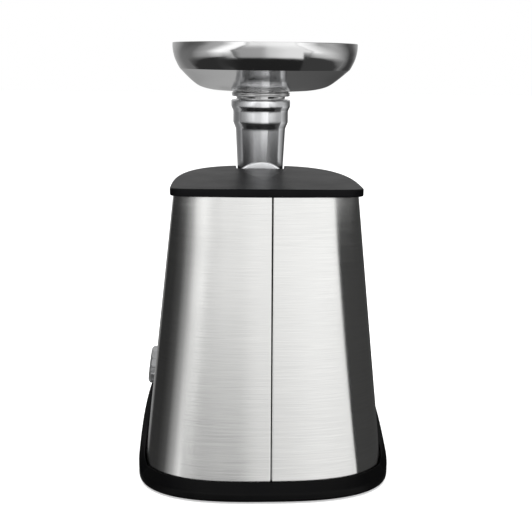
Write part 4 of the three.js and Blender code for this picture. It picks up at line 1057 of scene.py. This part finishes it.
# %% Cutting plate
PLATE_REAR, PLATE_THICK, PLATE_RADIUS, HOLE_RADIUS = 252.4, 5, 29, 2.6
disc = [(0, PLATE_REAR), (28.6, PLATE_REAR), (PLATE_RADIUS, PLATE_REAR + 0.4),
        (PLATE_RADIUS, PLATE_REAR + 4.6), (28.6, PLATE_REAR + PLATE_THICK), (0, PLATE_REAR + PLATE_THICK)]
hole = [(HOLE_RADIUS, PLATE_REAR - 1), (HOLE_RADIUS, PLATE_REAR + 4.6), (3.1, PLATE_REAR + 5.1),
        (3.1, PLATE_REAR + 6)]
plate = blank("mincing_plate", solid_turned(disc, "along", (0, AXIS_Z), 144, 0.2))
drilled = [along_bar(3.5, (PLATE_REAR - 1, PLATE_REAR + 6), (0, AXIS_Z), 32)]
for count, reach in ((6, 10), (10, 18), (12, 24.2)):
    for turn_angle in 2 * np.pi * np.arange(count) / count:
        spot = (reach * math.cos(turn_angle), AXIS_Z + reach * math.sin(turn_angle))
        drilled.append(skin(turned(hole, "along", spot, 28)))
carved(plate, cut=drilled)
finished(plate, "cutting_plate", ground_steel, ["cutting_plate"])

# %% [markdown]
# ## Auger
# The auger is a screw in a tube: its radius is the core's, or the flight's reach where the point lies on
# the flight. On the flight, the turn count station / pitch - angle / 2 pi is near a whole number, so one
# smooth bump of that number, carried round and along, draws the whole screw as one surface.

# %% Auger
FLIGHT_PITCH, FLIGHT_FROM, FLIGHT_HEIGHT = 19.3, 200.2, 16.6
FLIGHT_HALF, FLANK = 2.9, 1.1


def auger_flight(angle, station):
    """The flight's height times a smooth bump of the way from the flight's middle: none beyond 2.9 mm, full
    within 1.8 mm. It fades out at both ends of the screw."""
    count = (station - FLIGHT_FROM) / FLIGHT_PITCH - angle / (2 * np.pi)
    from_flight = np.abs((count + 0.5) % 1.0 - 0.5) * FLIGHT_PITCH
    bump = np.clip((FLIGHT_HALF - from_flight) / FLANK, 0, 1)
    ends = np.clip((station - 198.4) / 0.8, 0, 1) * np.clip((244.4 - station) / 0.8, 0, 1)
    return FLIGHT_HEIGHT * (bump * bump * (3 - 2 * bump)) * ends


core = [(0, 197.4), (11, 197.4), (11, 198), (8.4, 215), (8.2, 245), (0, 245)]
core_line = densify(eased(core, 0.4, 2), 0.35)
core_line = core_line[core_line[:, 0] > 0.05]
auger = blank("feed_screw", skin(turned(core_line, "along", (0, AXIS_Z), 160, auger_flight)))
carved(auger, joined=[
    solid_turned([(0, 187), (8.2, 187), (8.6, 187.4), (8.6, 198.5), (0, 198.5)], "along", (0, AXIS_Z), 64),
    box_shape((-5.2, 5.2), (175, 187.5), (AXIS_Z - 5.2, AXIS_Z + 5.2), 0.6),
    box_shape((-4, 4), (244.5, 251.6), (AXIS_Z - 4, AXIS_Z + 4), 0.4),
    solid_turned([(0, 251), (3, 251), (3, 256.2), (2.2, 257), (0, 257)], "along", (0, AXIS_Z), 48)])
finished(auger, "auger", polished_aluminium, ["auger"])

# %% [markdown]
# ## Blade
# The blade is a cross of four swept arms that turn just behind the plate. It slips over the square at the
# auger's front end and turns with it.

# %% Blade
BLADE_FOOT, BLADE_TIP, BLADE_REACH = 10, 23.2, 13.2
BLADE_LEVELS = [(0.965, 246.0), (1.0, 246.4), (1.0, 251.6), (0.99, 251.9)]  # share of full size, station


def blade_edge():
    """Round the blade, for each arm: out along a leading edge that turns as it goes, and in along the other
    to radius 10.5. Angles are in radians round the axis."""
    arms = []
    for first in np.arange(4) * np.pi / 2:
        out, back = np.linspace(BLADE_FOOT, BLADE_TIP, 10), np.linspace(BLADE_TIP, 10.5, 10)
        lead = first - 0.72 + 0.5 * ((out - BLADE_FOOT) / BLADE_REACH) ** 0.8
        trail = first + 0.14 + 0.16 * ((BLADE_TIP - back) / BLADE_REACH)
        for radius, angle in ((out, lead), (back, trail)):
            arms.append(np.stack([radius * np.cos(angle), radius * np.sin(angle)], -1))
    return np.concatenate(arms)


def blade_ring(edge, share, station):
    """The blade's edge at a share of its full size, standing across the machine at a station."""
    y = np.full(len(edge), DATUM_Y - station)
    return np.stack([share * edge[:, 0], y, AXIS_Z + share * edge[:, 1]], -1)


blade = blank("cross_blade", skin([blade_ring(blade_edge(), share, s) for share, s in BLADE_LEVELS]))
carved(blade, cut=[box_shape((-4.3, 4.3), (245, 253), (AXIS_Z - 4.3, AXIS_Z + 4.3), 0.4)])
finished(blade, "auger", ground_steel, ["cutting_blade"])

# %% [markdown]
# ## Lock slider
# Under the head a lacquered slider with three finger ridges is pressed down to free the head. Its pad is
# outside the front, its stem passes through the slot, and a plate behind it rides against a spring.

# %% Lock slider
def pillow(x, station, z, corner, soft):
    """A block with rounded corners all round: rings of a rounded square, drawn in by the soft radius at the
    top and the bottom."""
    square = four_corners(x, station)
    middle = square.mean(0)
    rings = []
    for base, degrees in ((z[0] + soft, np.linspace(-90, 0, 6)), (z[1] - soft, np.linspace(0, 90, 6))):
        for t in np.radians(degrees):
            inset = soft * (1 - math.cos(t))
            half = np.abs(square - middle) - inset
            ring = eased(middle + np.sign(square - middle) * half, max(corner - inset, 0.1), 5, closed=True)
            rings.append(flat_ring(ring, base + soft * math.sin(t)))
    return skin(rings)


slider = blank("lock_button", pillow((-9, 9), (238, 242.5), (180, 198), 1.2, 1.0))
ridges = [pillow((-7, 7), (241.6, 243.5), (z, z + 1.6), 0.6, 0.5) for z in (184, 188, 192)]
stem = box_shape((-3.5, 3.5), (217, 239), (186, 192), 0.5)
back_plate = box_shape((-6, 6), (216, 219), (180, 207), 0.6)
carved(slider, joined=ridges + [stem, back_plate])
finished(slider, "lock_slider", silver_lacquer, ["lock_slider"])
